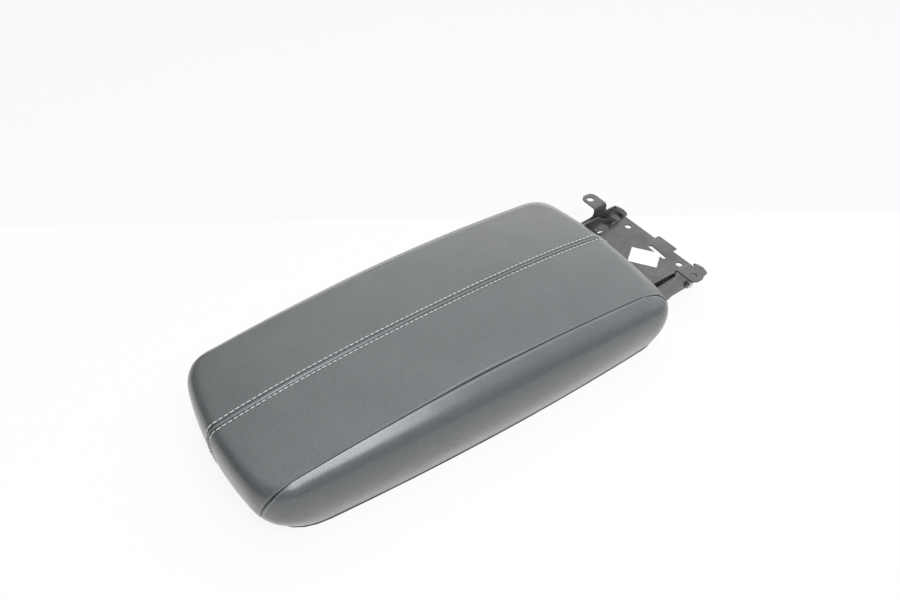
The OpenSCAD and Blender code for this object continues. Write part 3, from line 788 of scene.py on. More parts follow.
class Measured:
    """A curve over shares from 0 to 1 that can be asked for a place by its distance along the curve."""

    def __init__(self, point: Callable[[float], Vector], samples: int) -> None:
        """Measures the curve.

        Args:
            point: gives the place at a share.
            samples: how many chords the length is summed over.
        """
        self.point = point
        self.shares = spread_over(0.0, 1.0, samples + 1)
        places = [point(share) for share in self.shares]
        self.reach = [0.0, *accumulate((b - a).length for a, b in zip(places, places[1:]))]

    @property
    def length(self) -> float:
        """Length of the whole curve."""
        return self.reach[-1]

    def share(self, distance: float) -> float:
        """Finds a place on the curve.

        Args:
            distance: how far it is from the start.

        Returns:
            Its share, from 0 to 1.
        """
        k = min(max(bisect_right(self.reach, distance) - 1, 0), len(self.reach) - 2)
        part = (distance - self.reach[k]) / (self.reach[k + 1] - self.reach[k])
        return min(1.0, max(0.0, blend(self.shares[k], self.shares[k + 1], part)))

    def at(self, distance: float) -> Vector:
        """Place at a distance from the start."""
        return self.point(self.share(distance))


@dataclass(frozen=True)
class Stop:
    """A grid line of a panel: its place along a curve and how far the cover dips there.

    Attributes:
        share: share of the curve's length.
        offset: distance added to that, in metres.
        depth: how deep the line lies below the outer surface.
    """

    share: float
    offset: float
    depth: float = 0.0

    def distance(self, length: float) -> float:
        """Distance along a curve of that length."""
        return self.share * length + self.offset


@dataclass(frozen=True)
class FoldedEdge:
    """How the cover's edge rolls over and turns in.

    Attributes:
        radius: radius of the roll.
        skirt: how far the turned-in edge goes below the roll.
        skirt_rows: shares of the skirt that get a line.
        roll_rows: turns of the roll that get a line, in degrees.
    """

    radius: float
    skirt: float
    skirt_rows: Lines = (1.0, 0.5)
    roll_rows: tuple[int, ...] = (0, 16, 34, 54, 72, 90)

    def lines(self) -> list[tuple[float, float]]:
        """Lays the lines from the turned-in end to the flat.

        Returns:
            The distance from the edge and the depth of each.
        """
        turned = [(0.0, self.radius + self.skirt * share) for share in self.skirt_rows]
        angles = [math.radians(a) for a in self.roll_rows]
        rolled = [(self.radius * (1 - math.cos(a)), self.radius * (1 - math.sin(a))) for a in angles]
        return turned + rolled


def stops_between(
    first: FoldedEdge, last: FoldedEdge, count: int, dense: Lines, end_dense: Lines
) -> list[Stop]:
    """Grid lines from one folded edge to another.

    Args:
        first: edge at the start.
        last: edge at the end.
        count: how many even lines lie between.
        dense: extra distances from the start.
        end_dense: extra distances from the end.

    Returns:
        The stops in order.
    """
    head = [Stop(0.0, t, depth) for t, depth in first.lines()] + [Stop(0.0, t) for t in dense]
    tail = [Stop(1.0, -t, depth) for t, depth in last.lines()] + [Stop(1.0, -t) for t in end_dense]
    a, b = head[-1].offset, -tail[-1].offset
    middle = [Stop(k / (count + 1), a - (a + b) * k / (count + 1)) for k in range(1, count + 1)]
    return head + middle + tail[::-1]


@dataclass
class Panel:
    """One cut of leather: a grid of places on the cover's surface with folded edges.

    Attributes:
        rows: grid lines along the panel.
        columns: grid lines across it.
        spine: the curve that the rows are measured on.
        across: gives the curve over one row at a share of the spine.
        relief: height added at a distance along the spine and across from the start.
        shade: painted highlight (positive) or painted shade (negative) on the cover at distances along, from the start
            and from the end.
        kept_rows: rows at each end that aren't softened.
        kept_columns: columns at the far side that aren't softened, and as many over which that fades.
    """

    rows: list[Stop]
    columns: list[Stop]
    spine: Measured
    across: Callable[[float], Measured]
    relief: Callable[[float, float, Vector], float]
    shade: Callable[[float, float, float], float]
    kept_rows: int = 8
    kept_columns: int = 6

    @staticmethod
    def unique(stops: list[Stop]) -> tuple[list[Stop], list[int]]:
        """Picks out the stops at different places.

        Args:
            stops: all the stops in order.

        Returns:
            One stop for each place, and which of them each of the stops lies on.
        """
        places: list[Stop] = []
        index = []
        for stop in stops:
            if not places or (places[-1].share, places[-1].offset) != (stop.share, stop.offset):
                places.append(stop)
            index.append(len(places) - 1)
        return places, index

    def build(self, rounds: int) -> BMesh:
        """Lays the grid over the surface.

        Args:
            rounds: how often it is softened along the columns.

        Returns:
            The mesh, with y from the foremost point of the lid.
        """
        row_places, row_index = self.unique(self.rows)
        column_places, column_index = self.unique(self.columns)
        grid, reaches, widths = [], [], []
        for row in row_places:
            curve = self.across(self.spine.share(row.distance(self.spine.length)))
            reach = [stop.distance(curve.length) for stop in column_places]
            grid.append([curve.at(distance) for distance in reach])
            reaches.append(reach)
            widths.append(curve.length)
        grid = self.relaxed(grid, rounds)
        mesh = bmesh.new()
        bmesh.ops.create_grid(mesh, x_segments=len(self.columns) - 1, y_segments=len(self.rows) - 1, size=1)
        mesh.verts.ensure_lookup_table()
        layer = mesh.verts.layers.float.new(SEAM_PAINTED_LIGHT)
        width = len(self.columns)
        last_row, last_column = len(grid) - 1, len(grid[0]) - 1
        for r, i in enumerate(row_index):
            along = row_places[i].distance(self.spine.length)
            for c, j in enumerate(column_index):
                du = grid[i][min(j + 1, last_column)] - grid[i][max(j - 1, 0)]
                dv = grid[min(i + 1, last_row)][j] - grid[max(i - 1, 0)][j]
                normal = du.cross(dv).normalized()
                depth = self.rows[r].depth + self.columns[c].depth
                depth -= self.relief(along, reaches[i][j], grid[i][j])
                vert = mesh.verts[r * width + c]
                vert.co = grid[i][j] - normal * depth
                # Painted highlight and shade beside the seams, carried to the leather's colour.
                vert[layer] = self.shade(along, reaches[i][j], widths[i] - reaches[i][j])
        return mesh

    def relaxed(self, grid: list[list[Vector]], rounds: int) -> list[list[Vector]]:
        """Softens the grid along its columns, so that the top rolls into the ends without a crease.

        Args:
            grid: the places of the grid, row by row.
            rounds: how often each place moves towards its neighbours.

        Returns:
            The softened places.
        """
        last = len(grid[0]) - 1
        pull = [min(1.0, max(0.0, (last - j) / self.kept_columns - 1)) for j in range(last + 1)]
        for _ in range(rounds):
            new = [list(row) for row in grid]
            for i in range(self.kept_rows, len(grid) - self.kept_rows):
                for j, share in enumerate(pull):
                    if share:
                        mean = (grid[i - 1][j] + 2 * grid[i][j] + grid[i + 1][j]) / 4
                        new[i][j] = blend(grid[i][j], mean, share)
            grid = new
        return grid


@dataclass(frozen=True)
class Hump:
    """A smooth rise beside a seam.

    Attributes:
        height: how high it rises, in metres or as a shade.
        centre: distance of its top from the seam.
        width: how far from its top it has fallen to about a third.
    """

    height: float
    centre: float
    width: float

    def at(self, x: float) -> float:
        """Its height at a distance from the seam."""
        return self.height * math.exp(-(((x - self.centre) / self.width) ** 2))


@dataclass(frozen=True)
class ArmSlots:
    """Openings in the rear wall through which the hinge arms leave the padded lid.

    Attributes:
        inner: distance of the inner edge from the middle.
        outer: distance of the outer edge.
        top: height of the upper edge.
        depth: how far ahead of the rearmost point the wall is looked for.
        beside: how far to each side of the inner edge the wall is split.
        above: how far above the upper edge it is split.
    """

    inner: float = 44.3 * MM
    outer: float = 49.5 * MM
    top: float = 28.8 * MM
    depth: float = 30.0 * MM
    beside: float = 9.0 * MM
    above: float = 4.0 * MM

    @staticmethod
    def faces_in(mesh: BMesh, side: int, front: float, span: tuple[float, float], top: float) -> list:
        """Picks faces by their middles.

        Args:
            mesh: the mesh.
            side: 1 on the right and -1 on the left.
            front: least y.
            span: least and greatest distance from the middle.
            top: greatest height.

        Returns:
            The faces.
        """
        found = []
        for face in mesh.faces:
            middle = face.calc_center_median()
            if middle.y > front and span[0] < side * middle.x < span[1] and middle.z < top:
                found.append(face)
        return found

    def cut(self, mesh: BMesh, rear: float) -> None:
        """Cuts the openings.

        Args:
            mesh: the mesh to cut.
            rear: the rearmost y of the mesh.
        """
        front = rear - self.depth
        wide = (self.inner - self.beside, self.inner + self.beside)
        for side in (-1, 1):
            planes = [(Vector((side * x, 0, 0)), Vector((1, 0, 0))) for x in (self.inner, self.outer)]
            planes.append((Vector((0, 0, self.top)), Vector((0, 0, 1))))
            for place, normal in planes:
                near = self.faces_in(mesh, side, front, wide, self.top + self.above)
                geometry = list({v for f in near for v in f.verts}) + list({e for f in near for e in f.edges}) + near
                bmesh.ops.bisect_plane(mesh, geom=geometry, dist=1e-6, plane_co=place, plane_no=normal)
            inside = self.faces_in(mesh, side, front, (self.inner, self.outer), self.top)
            bmesh.ops.delete(mesh, geom=inside, context="FACES")


def new_piece(name: str, mesh: BMesh, material: Material) -> bpy.types.Object:
    """Makes an object of a mesh, smooth shaded, in its material.

    Args:
        name: the piece's name.
        mesh: its geometry, which is used up.
        material: its material.

    Returns:
        The object at the origin.
    """
    data = bpy.data.meshes.new(name)
    mesh.to_mesh(data)
    mesh.free()
    data.materials.append(material)
    data.polygons.foreach_set("use_smooth", [True] * len(data.polygons))
    piece = bpy.data.objects.new(name, data)
    bpy.context.scene.collection.objects.link(piece)
    log.info("%s: %d faces", name, len(data.polygons))
    return piece


def thicken(piece: bpy.types.Object, thickness: float) -> None:
    """Gives a sheet its thickness, inwards from its outer surface.

    Args:
        piece: the sheet.
        thickness: its thickness.
    """
    wall = piece.modifiers.new("wall", "SOLIDIFY")
    wall.thickness = thickness
    wall.offset = -1.0
    wall.use_even_offset = False


@dataclass
class LeatherCover:
    """The four leather panels over the foam, with their folded seams and stitches."""

    leather: Material
    thread: Material
    shape: LidShape = LidShape()
    slots: ArmSlots = ArmSlots()
    thickness: float = 0.9 * MM
    seam_edge: FoldedEdge = FoldedEdge(1.0 * MM, 1.5 * MM)
    centre_edge: FoldedEdge = FoldedEdge(0.3 * MM, 1.5 * MM)
    hem_edge: FoldedEdge = FoldedEdge(1.3 * MM, 2.8 * MM)
    seam_gap: float = 0.06 * MM

    # Stitches
    stitch_x: float = 3.15 * MM
    stitch_pitch: float = 4.3 * MM
    stitch_len: float = 3.9 * MM
    stitch_margin: float = 12 * MM
    thread_r: float = 0.44 * MM
    thread_lift: float = 0.4

    # Relief beside the seams, and the highlight and shade painted beside them
    ridge: Hump = Hump(0.42 * MM, 0.25 * MM, 0.75 * MM)
    ridge_from: float = 12 * MM
    ridge_over: float = 30 * MM
    ridge_least: float = 0.2
    groove: Hump = Hump(0.34 * MM, 1.6 * MM, 0.55 * MM)
    stitch_dip: Hump = Hump(0.12 * MM, 3.15 * MM, 0.75 * MM)
    hole_dip: Hump = Hump(0.1 * MM, 3.15 * MM, 0.8 * MM)
    # Painted highlight on the centre ridge, and painted shade in the grooves beside it and at the needle holes.
    ridge_painted_highlight: Hump = Hump(1.0, 0.0, 0.7 * MM)
    groove_painted_shade: Hump = Hump(0.9, 1.65 * MM, 0.6 * MM)
    hole_painted_shade: Hump = Hump(0.3, 3.15 * MM, 0.5 * MM)
    # Painted highlight on the folded edge beside a side seam, and painted shade in the seam line itself.
    edge_painted_highlight: Hump = Hump(0.5, 1.9 * MM, 0.8 * MM)
    edge_painted_shade: Hump = Hump(1.2, 0.0, 0.85 * MM)

    # Grid lines beyond each folded edge, and how many lie between
    hem_lines: Lines = (2.2 * MM,)
    side_lines: Lines = (1.5 * MM, 2.2 * MM, 3.4 * MM)
    top_lines: Lines = (1.5 * MM, 2.2 * MM, 3.2 * MM, 4.6 * MM, 6.4 * MM)
    centre_lines: Lines = tuple(
        v * MM for v in (0.5, 0.75, 1.0, 1.3, 1.6, 1.9, 2.2, 2.6, 2.9, 3.15, 3.4, 3.75, 4.2, 5.0, 6.4)
    )
    rows_per_stitch: int = 4
    top_columns: int = 18
    side_rows: int = 26
    side_columns: int = 150
    softening: int = 14

    def __post_init__(self) -> None:
        """Measures the curves that every row of the top panel starts and ends on."""
        top = self.shape.top_line()
        high, low = 1 + self.shape.front_seam(1.0), self.shape.rear_seam(1.0)
        self.front_line = Measured(lambda u: self.shape.in_plan(top, u * high), 60)
        self.rear_line = Measured(lambda u: self.shape.in_plan(top, blend(LAST_STATION, low, u)), 60)
        self.edge_stations = spread_over(high, low, 160)
        self.edge_ys = [self.shape.in_plan(top, q).y for q in self.edge_stations]
        self.spine = Measured(lambda s: self.cover_point(3 * s, 0.0), 180)

    def edge_point(self, w: float) -> Vector:
        """Point of the side seam in plan.

        Args:
            w: share of the seam's length in y.

        Returns:
            The point, with y from the foremost point of the lid.
        """
        y = blend(self.edge_ys[0], self.edge_ys[-1], w)
        k = min(max(bisect_right(self.edge_ys, y) - 1, 0), len(self.edge_ys) - 2)
        part = (y - self.edge_ys[k]) / (self.edge_ys[k + 1] - self.edge_ys[k])
        q = blend(self.edge_stations[k], self.edge_stations[k + 1], min(1.0, max(0.0, part)))
        return self.shape.in_plan(self.shape.top_line(), q)

    def cover_point(self, s: float, u: float) -> Vector:
        """Point of the top panel.

        Args:
            s: 0 to 1 up the front, 1 to 2 along the top, 2 to 3 down the rear.
            u: 0 at the centre seam to 1 at the side seam.

        Returns:
            The point, with y from the foremost point of the lid.
        """
        shape = self.shape
        if s < 1:
            return shape.station(u * (1 + shape.front_seam(s)), s)
        if s > 2:
            return shape.station(blend(LAST_STATION, shape.rear_seam(3 - s), u), 3 - s)
        w, line = s - 1, shape.top_line()
        front, rear = self.front_line.at(u * self.front_line.length), self.rear_line.at(u * self.rear_line.length)
        centre, side = Vector((0.0, blend(line.front, line.rear, w))), self.edge_point(w)
        ends = blend(front, rear, w) + blend(centre, side, u)
        near = blend(Vector((0.0, line.front)), self.edge_point(0.0), u)
        far = blend(Vector((0.0, line.rear)), self.edge_point(1.0), u)
        return shape.on_top(ends - blend(near, far, w))

    def near_hole(self, along: float) -> float:
        """How near a place along the seam is to a needle hole, from 0 to 1."""
        return 0.5 + 0.5 * math.cos(2 * math.pi * along / self.stitch_pitch)

    def seam_relief(self, along: float, x: float) -> float:
        """Finds the relief near the centre seam, where the turned edges lift the cover and the stitches pull it down.

        Args:
            along: distance along the seam.
            x: distance from it.

        Returns:
            The height added to the cover.
        """
        from_end = min(along, self.spine.length - along)
        full = min(1.0, max(self.ridge_least, (from_end - self.ridge_from) / self.ridge_over))
        hole = self.hole_dip.at(x) * self.near_hole(along)
        return self.ridge.at(x) * full - self.groove.at(x) - self.stitch_dip.at(x) - hole

    def seam_painted_light(self, along: float, x: float, from_side: float) -> float:
        """Finds the highlight and shade painted on the top beside its seams.

        Args:
            along: distance along the centre seam.
            x: distance from it.
            from_side: distance from the side seam.

        Returns:
            The painted light, positive for painted highlight and negative for painted shade.
        """
        hole = self.hole_painted_shade.at(x) * self.near_hole(along) ** 3
        return self.ridge_painted_highlight.at(x) - self.groove_painted_shade.at(x) - hole + self.edge_shade(from_side)

    def edge_shade(self, distance: float) -> float:
        """Painted highlight on the fold and painted shade in the seam line, at a distance from a side seam."""
        return self.edge_painted_highlight.at(distance) - self.edge_painted_shade.at(distance)

    @staticmethod
    def slack(place: Vector) -> float:
        """Makes the faint unevenness of leather drawn over foam.

        Args:
            place: where on the cover.

        Returns:
            The height added there.
        """
        wide = noise.noise(place * 22.0)
        small = noise.noise(place * 85.0 + Vector((3.0, 7.0, 1.0)))
        return (0.16 * wide + 0.035 * small) * MM

    def top_panel(self) -> BMesh:
        """Builds the right top panel.

        Returns:
            The mesh, with y from the foremost point of the lid.
        """
        count = round(self.spine.length / (self.stitch_pitch / self.rows_per_stitch))
        panel = Panel(
            rows=stops_between(self.hem_edge, self.hem_edge, count, self.hem_lines, self.hem_lines),
            columns=stops_between(
                self.centre_edge, self.seam_edge, self.top_columns, self.centre_lines, self.top_lines
            ),
            spine=self.spine,
            across=lambda share: Measured(lambda u: self.cover_point(3 * share, u), 22),
            relief=lambda along, x, place: self.seam_relief(along, x) + self.slack(place),
            shade=self.seam_painted_light,
        )
        mesh = panel.build(self.softening)
        bmesh.ops.translate(mesh, verts=mesh.verts, vec=(self.seam_gap, 0, 0))
        self.slots.cut(mesh, self.shape.length)
        return mesh

    def side_panel(self) -> BMesh:
        """Builds the right side panel.

        Returns:
            The mesh, with y from the foremost point of the lid.
        """
        shape, seam, lines = self.shape, self.seam_edge, self.side_lines
        spine = Measured(lambda v: shape.station(Zone.SIDE.value + 0.5, v), 60)
        panel = Panel(
            rows=stops_between(self.hem_edge, seam, self.side_rows, self.hem_lines, lines),
            columns=stops_between(seam, seam, self.side_columns, lines, lines),
            spine=spine,
            across=lambda v: Measured(
                lambda u: shape.station(blend(1 + shape.front_seam(v), shape.rear_seam(v), u), v), 90
            ),
            relief=lambda along, x, place: self.slack(place) - self.seam_gap,
            shade=lambda along, front, rear: self.edge_shade(min(spine.length - along, front, rear)),
        )
        return panel.build(0)

    def stitches(self) -> BMesh:
        """Builds both rows of stitches beside the centre seam.

        Returns:
            The mesh, with y from the foremost point of the lid.
        """
        mesh = bmesh.new()
        count = int((self.spine.length - self.stitch_margin) / self.stitch_pitch)
        for k in range(count):
            along = (k + 1.5) * self.stitch_pitch
            ends = [self.stitch_place(along + side * self.stitch_len / 2) for side in (-1, 1)]
            middle, normal = self.stitch_place(along)
            run = (ends[1][0] - ends[0][0]).normalized()
            across = run.cross(normal).normalized()
            lift = middle + normal * self.thread_r * self.thread_lift
            for side in (-1, 1):
                turn = Matrix((run, across, normal)).transposed().to_4x4()
                size = Matrix.Diagonal((self.stitch_len / 2, self.thread_r, self.thread_r, 1))
                place = Matrix.Translation(Vector((side * lift.x, lift.y, lift.z)))
                bmesh.ops.create_uvsphere(
                    mesh, u_segments=6, v_segments=6, radius=1,
                    matrix=place @ turn @ size @ Matrix.Rotation(math.pi / 2, 4, "Y"),
                )
        bmesh.ops.recalc_face_normals(mesh, faces=mesh.faces)
        return mesh

    def stitch_place(self, along: float) -> tuple[Vector, Vector]:
        """Finds where the thread lies.

        Args:
            along: distance along the centre seam.

        Returns:
            The place, and the cover's normal there.
        """
        share = self.spine.share(along)
        step = 0.5 * MM
        curve = Measured(lambda u: self.cover_point(3 * share, 0.12 * u), 8)
        here, beside = curve.at(self.stitch_x), curve.at(self.stitch_x + step)
        ahead = Measured(
            lambda u: self.cover_point(3 * self.spine.share(along + step), 0.12 * u), 8
        ).at(self.stitch_x)
        normal = (beside - here).cross(ahead - here).normalized()
        sink = self.seam_relief(self.stitch_pitch / 2, self.stitch_x)
        return here + normal * sink + Vector((self.seam_gap, 0, 0)), normal

    def dress(self) -> list[bpy.types.Object]:
        """Makes the panels of both sides and the stitches.

        Returns:
            The pieces, with the stitches last.
        """
        made = []
        for build, node in ((self.top_panel, "leather_top"), (self.side_panel, "leather_side")):
            right = build()
            bmesh.ops.translate(right, verts=right.verts, vec=(0, self.shape.y_shift, 0))
            left = right.copy()
            bmesh.ops.scale(left, verts=left.verts, vec=(-1, 1, 1))
            bmesh.ops.reverse_faces(left, faces=left.faces)
            for side, mesh in (("right", right), ("left", left)):
                piece = new_piece(f"{node}_cover_{side}", mesh, self.leather)
                thicken(piece, self.thickness)
                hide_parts(f"{node}_{side}")
                made.append(piece)
        thread = self.stitches()
        bmesh.ops.translate(thread, verts=thread.verts, vec=(0, self.shape.y_shift, 0))
        made.append(new_piece("centre_stitches", thread, self.thread))
        for piece in made:
            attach(piece, "lid")
        return made


@dataclass
class FoamPad:
    """The moulded foam under the cover, seen at the slots and the hem."""

    foam: Material
    shape: LidShape = LidShape()
    slots: ArmSlots = ArmSlots()
    depth: float = 1.75 * MM
    thickness: float = 4.8 * MM
    around: int = 120
    levels: Lines = (0.02, 0.08, 0.16, 0.24, 0.32, 0.42, 0.52, 0.62, 0.72, 0.81, 0.89, 0.95, 1.0)
    scales: Lines = (0.9, 0.75, 0.55, 0.35, 0.15, 0.0)

    def place(self, turn: float, row: int) -> Vector:
        """Point of the pad's outer surface.

        Args:
            turn: 0 to 1 round the lid, from the centre of the front over the right side.
            row: up the wall and then inwards over the top.

        Returns:
            The point.
        """
        side = 1 if turn <= 0.5 else -1
        q = 2 * LAST_STATION * (turn if turn <= 0.5 else 1 - turn)
        if row < len(self.levels):
            p = self.shape.station(q, self.levels[row])
        else:
            scale = self.scales[row - len(self.levels)]
            edge = self.shape.in_plan(self.shape.top_line(), q)
            centre = Vector((0.0, self.shape.length / 2))
            p = self.shape.on_top(centre + (edge - centre) * scale)
        return Vector((side * p.x, p.y, p.z))

    def dress(self) -> bpy.types.Object:
        """Makes the pad.

        Returns:
            The piece.
        """
        mesh = bmesh.new()
        rows = len(self.levels) + len(self.scales)
        bmesh.ops.create_grid(mesh, x_segments=self.around, y_segments=rows - 1, size=1)
        mesh.verts.ensure_lookup_table()
        for r in range(rows):
            for c in range(self.around + 1):
                turn = c / self.around % 1.0
                mesh.verts[r * (self.around + 1) + c].co = self.place(turn, r)
        bmesh.ops.remove_doubles(mesh, verts=mesh.verts, dist=1e-6)
        bmesh.ops.recalc_face_normals(mesh, faces=mesh.faces)
        mesh.normal_update()
        moved = [(v, v.co - v.normal * self.depth) for v in mesh.verts]
        for vert, co in moved:
            vert.co = co
        self.slots.cut(mesh, self.shape.length)
        bmesh.ops.translate(mesh, verts=mesh.verts, vec=(0, self.shape.y_shift, 0))
        piece = new_piece("foam_moulding", mesh, self.foam)
        thicken(piece, self.thickness)
        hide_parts("foam_pad")
        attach(piece, "lid")
        return piece


@dataclass
class RoundedEdges:
    """Merged copies of hard parts, with the small radius that the press or the mould leaves on their edges.

    Attributes:
        nodes: the parts and the radius of each.
        sharp: edges that bend more than this get the radius, in degrees.
    """

    nodes: dict[str, float]
    sharp: float = 32.0

    def rounded(self, source: bpy.types.Mesh, radius: float) -> BMesh:
        """Merges a part's triangles into faces and bevels its sharp edges.

        Args:
            source: the part's mesh, which stays as it is.
            radius: the radius of its edges.

        Returns:
            The new mesh.
        """
        mesh = bmesh.new()
        mesh.from_mesh(source)
        bmesh.ops.remove_doubles(mesh, verts=mesh.verts, dist=1e-6)
        bmesh.ops.dissolve_limit(mesh, angle_limit=math.radians(0.6), verts=mesh.verts, edges=mesh.edges)
        bent = [e for e in mesh.edges if len(e.link_faces) == 2 and e.calc_face_angle(0.0) > math.radians(self.sharp)]
        bmesh.ops.bevel(
            mesh, geom=bent, offset=radius, offset_type="OFFSET", segments=2, profile=0.5,
            affect="EDGES", clamp_overlap=True, material=-1,
        )
        return mesh

    def dress(self, frame: dict, finishes: dict[str, Material]) -> None:
        """Makes the rounded parts and hides the sharp ones.

        Args:
            finishes: the material of each slot.
        """
        slots = {part["node"]: part["material_slot"] for part in frame["record"]["subparts"]}
        for body, members in frame["record"]["behaviour"]["bodies"].items():
            for node in members:
                if node not in self.nodes:
                    continue
                mesh = self.rounded(frame["nodes"][node].data, self.nodes[node])
                piece = new_piece(f"{node}_rounded", mesh, finishes[slots[node]])
                shading = piece.modifiers.new("even_shading", "WEIGHTED_NORMAL")
                shading.keep_sharp = True
                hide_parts(node)
                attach(piece, body)


@dataclass
class Finishes:
    """Every finish of the armrest, and the record's slot that each one belongs to."""

    leather: GrainedLeather = GrainedLeather()
    thread: TwistedThread = TwistedThread()
    plastic: SparkPlastic = SparkPlastic()
    steel: CoatedSteel = CoatedSteel()
    zinc: ZincPlate = ZincPlate()
    foam: PlainMoulding = PlainMoulding("open_foam", (0.42, 0.38, 0.27), (0.62, 0.57, 0.42), 1400.0, 0.85, 0.0002)
    nylon: PlainMoulding = PlainMoulding("natural_nylon", (0.6, 0.59, 0.54), (0.74, 0.73, 0.68), 900.0, 0.42, 0.00003)
    rubber: PlainMoulding = PlainMoulding(
        "black_rubber", (0.014, 0.014, 0.014), (0.03, 0.03, 0.03), 1600.0, 0.7, 0.00005
    )
    label: PlainMoulding = PlainMoulding("label_paper", (0.8, 0.8, 0.79), (0.89, 0.89, 0.88), 2600.0, 0.5, 0.00001)

    def by_slot(self) -> dict[str, Material]:
        """Builds the materials.

        Returns:
            The material of each slot.
        """
        steps = {
            Finish.LEATHER: self.leather, Finish.FOAM: self.foam, Finish.PLASTIC: self.plastic,
            Finish.BLACK_STEEL: self.steel, Finish.ZINC: self.zinc, Finish.NYLON: self.nylon,
            Finish.RUBBER: self.rubber, Finish.LABEL: self.label,
        }
        return {slot.value: finish.build() for slot, finish in steps.items()}


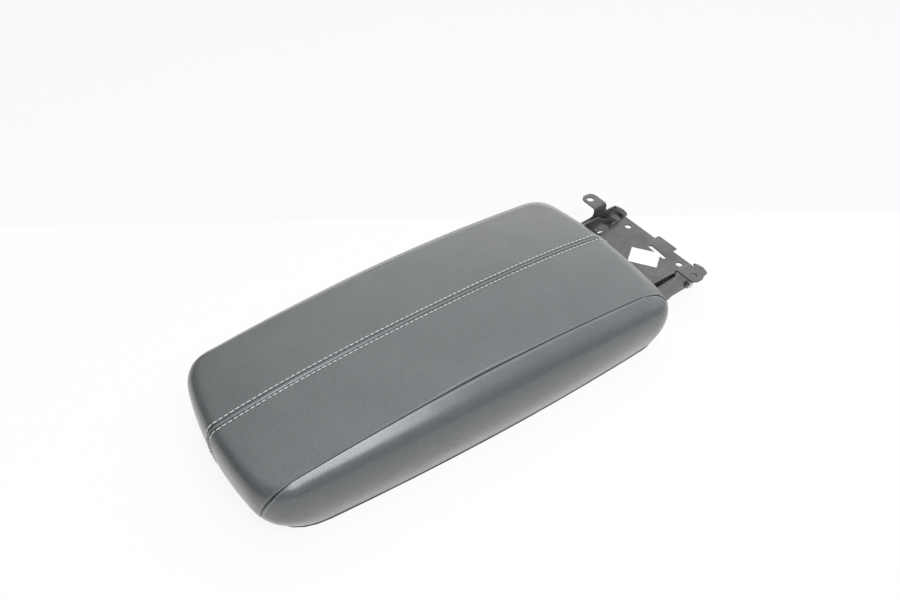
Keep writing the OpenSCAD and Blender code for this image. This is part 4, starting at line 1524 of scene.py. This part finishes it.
@dataclass
class Studio:
    """Camera, lamp, world and the pale floor.

    Attributes:
        lens: focal length on a sensor 36 mm wide.
        camera_at: where the camera stands.
        pitch: how far it looks down, in radians.
        roll: how far it leans.
        azimuth: which side it looks from.
        key_colour: colour of the softbox.
        key_towards: where it hangs, seen from the part.
        key_distance: how far away.
        key_size: its width.
        key_power: its power, in watts.
        glow_colour: colour of the surround.
        glow_towards: where the surround is brightest.
        glow_range: between which cosines from there it brightens.
        glow_strength: its least and greatest strength.
        backdrop: grey that the camera sees behind the floor.
        floor_size: width of the floor.
        floor_tone: its grey under the lamps.
        floor_shine: share of its own white that the camera sees.
        floor_near: that white before the line.
        floor_far: the same beyond it.
        sweep_towards: across the line beyond which the floor's white is a little darker.
        sweep_at: how far that line lies from the part.
        sweep_half: half the width of that line.
    """

    lens: float = 30.6
    camera_at: Triple = (0.34449, -0.25758, 0.47716)
    pitch: float = 0.7761702923
    roll: float = -0.0037824457
    azimuth: float = 0.9738085640
    key_colour: Triple = (0.93, 0.97, 1.0)
    key_towards: Triple = (0.57, -0.07, 0.82)
    key_distance: float = 1.3
    key_size: float = 0.54
    key_power: float = 10.0
    glow_colour: Triple = (0.975, 0.985, 1.0)
    glow_towards: Triple = (-0.3, 0.55, 0.78)
    glow_range: tuple[float, float] = (0.35, 0.85)
    glow_strength: tuple[float, float] = (0.1, 1.45)
    backdrop: float = 0.985
    floor_size: float = 8.0
    floor_tone: float = 0.85
    floor_shine: float = 0.9
    floor_near: Triple = (1.0, 1.0, 1.0)
    floor_far: Triple = (0.972, 0.974, 0.976)
    sweep_towards: Triple = (-0.8394, 0.5435, 0.0)
    sweep_at: float = 0.1718
    sweep_half: float = 0.002

    def camera(self) -> None:
        """Places the camera where the photograph was taken from."""
        back = Vector((
            math.sin(self.azimuth) * math.cos(self.pitch),
            -math.cos(self.azimuth) * math.cos(self.pitch),
            math.sin(self.pitch),
        ))
        level = Vector((0, 0, 1)).cross(back).normalized()
        up = back.cross(level)
        c, s = math.cos(self.roll), math.sin(self.roll)
        right, upward = level * c + up * s, up * c - level * s
        data = bpy.data.cameras.new("camera")
        data.sensor_fit = "HORIZONTAL"
        data.sensor_width = 36.0
        data.lens = self.lens
        data.clip_start = 0.01
        camera = bpy.data.objects.new("camera", data)
        bpy.context.scene.collection.objects.link(camera)
        camera.matrix_world = Matrix.Translation(self.camera_at) @ Matrix((right, upward, back)).transposed().to_4x4()
        bpy.context.scene.camera = camera

    def lamps(self) -> None:
        """Hangs the key softbox on the near side."""
        towards = Vector(self.key_towards).normalized()
        data = bpy.data.lights.new("key_softbox", "AREA")
        data.shape = "SQUARE"
        data.size = self.key_size
        data.energy = self.key_power
        data.color = self.key_colour
        lamp = bpy.data.objects.new("key_softbox", data)
        bpy.context.scene.collection.objects.link(lamp)
        lamp.location = towards * self.key_distance
        lamp.rotation_euler = towards.to_track_quat("Z", "Y").to_euler()

    def world(self) -> None:
        """Makes the soft surround, bright over the far side and dim low on the near side."""
        world = bpy.data.worlds.new("surround")
        world.use_nodes = True
        tree = world.node_tree
        tree.nodes.clear()
        new, link = tree.nodes.new, tree.links.new
        place = new("ShaderNodeTexCoord").outputs["Generated"]
        output, mix = new("ShaderNodeOutputWorld"), new("ShaderNodeMixShader")
        seen, glow = new("ShaderNodeBackground"), new("ShaderNodeBackground")
        seen.inputs["Color"].default_value = (*[self.backdrop] * 3, 1)
        glow.inputs["Color"].default_value = (*self.glow_colour, 1)
        tilt = new("ShaderNodeVectorMath")
        tilt.operation = "DOT_PRODUCT"
        link(place, tilt.inputs[0])
        tilt.inputs[1].default_value = Vector(self.glow_towards).normalized()
        level = new("ShaderNodeMapRange")
        level.interpolation_type = "SMOOTHSTEP"
        for name, value in zip(("From Min", "From Max", "To Min", "To Max"), self.glow_range + self.glow_strength):
            level.inputs[name].default_value = value
        link(tilt.outputs["Value"], level.inputs["Value"])
        link(level.outputs["Result"], glow.inputs["Strength"])
        link(new("ShaderNodeLightPath").outputs["Is Camera Ray"], mix.inputs["Fac"])
        link(glow.outputs["Background"], mix.inputs[1])
        link(seen.outputs["Background"], mix.inputs[2])
        link(mix.outputs["Shader"], output.inputs["Surface"])
        bpy.context.scene.world = world

    def floor(self, height: float) -> None:
        """Lays the pale floor.

        Args:
            height: the lowest point of the object.
        """
        mesh = bmesh.new()
        bmesh.ops.create_grid(mesh, x_segments=2, y_segments=2, size=self.floor_size / 2)
        bmesh.ops.translate(mesh, verts=mesh.verts, vec=(0, 0, height))
        board = NodeBoard("pale_floor")
        board.tree.nodes.remove(board.shader)
        far = board.add("ShaderNodeVectorMath", operation="DOT_PRODUCT")
        board.link(board.place, far.inputs[0])
        far.inputs[1].default_value = self.sweep_towards
        line = (self.sweep_at - self.sweep_half, self.sweep_at + self.sweep_half)
        tint = board.colours(board.ramp(far.outputs["Value"], *line, 0.0, 1.0), self.floor_near, self.floor_far)
        paper = board.add("ShaderNodeBsdfDiffuse")
        paper.inputs["Color"].default_value = (*[self.floor_tone] * 3, 1)
        shine = board.add("ShaderNodeEmission")
        board.link(tint, shine.inputs["Color"])
        ray = board.add("ShaderNodeLightPath")
        seen = board.math("MAXIMUM", ray.outputs["Is Camera Ray"], ray.outputs["Is Glossy Ray"])
        mix = board.add("ShaderNodeMixShader")
        board.link(board.math("MULTIPLY", seen, self.floor_shine), mix.inputs["Fac"])
        board.link(paper.outputs["BSDF"], mix.inputs[1])
        board.link(shine.outputs["Emission"], mix.inputs[2])
        board.link(mix.outputs["Shader"], board.tree.nodes["Material Output"].inputs["Surface"])
        new_piece("floor", mesh, board.material)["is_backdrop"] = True


def dress_nodes(frame: dict, finishes: dict[str, Material]) -> None:
    """Gives every CAD node the finish of its slot in the record.

    Args:
        finishes: the material of each slot.
    """
    for subpart in frame["record"]["subparts"]:
        node, slot = subpart["node"], subpart["material_slot"]
        data = frame["nodes"][node].data
        data.materials.clear()
        data.materials.append(finishes[slot])
        log.info("%s in %s", node, slot)


def plain(box: Iterable[Iterable[float]]) -> list[list[float]]:
    """A box as plain lists of numbers."""
    return [[float(value) for value in corner] for corner in box]


def main() -> None:
    """Builds the dressed armrest."""
    logging.basicConfig(level=logging.INFO, format="%(name)s: %(message)s")
    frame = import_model()
    cad_box = plain(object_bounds())
    studio = Studio()
    studio.camera()
    studio.lamps()
    studio.world()
    studio.floor(cad_box[0][2])
    finishes = Finishes()
    materials = finishes.by_slot()
    dress_nodes(frame, materials)
    RoundedEdges(dict.fromkeys(STAMPED, STAMPED_EDGE) | dict.fromkeys(MOULDED, MOULDED_EDGE)).dress(frame, materials)
    FoamPad(materials[Finish.FOAM.value]).dress()
    LeatherCover(materials[Finish.LEATHER.value], finishes.thread.build()).dress()
    bpy.context.scene.view_settings.view_transform = "Standard"


if __name__ == "__main__":
    main()
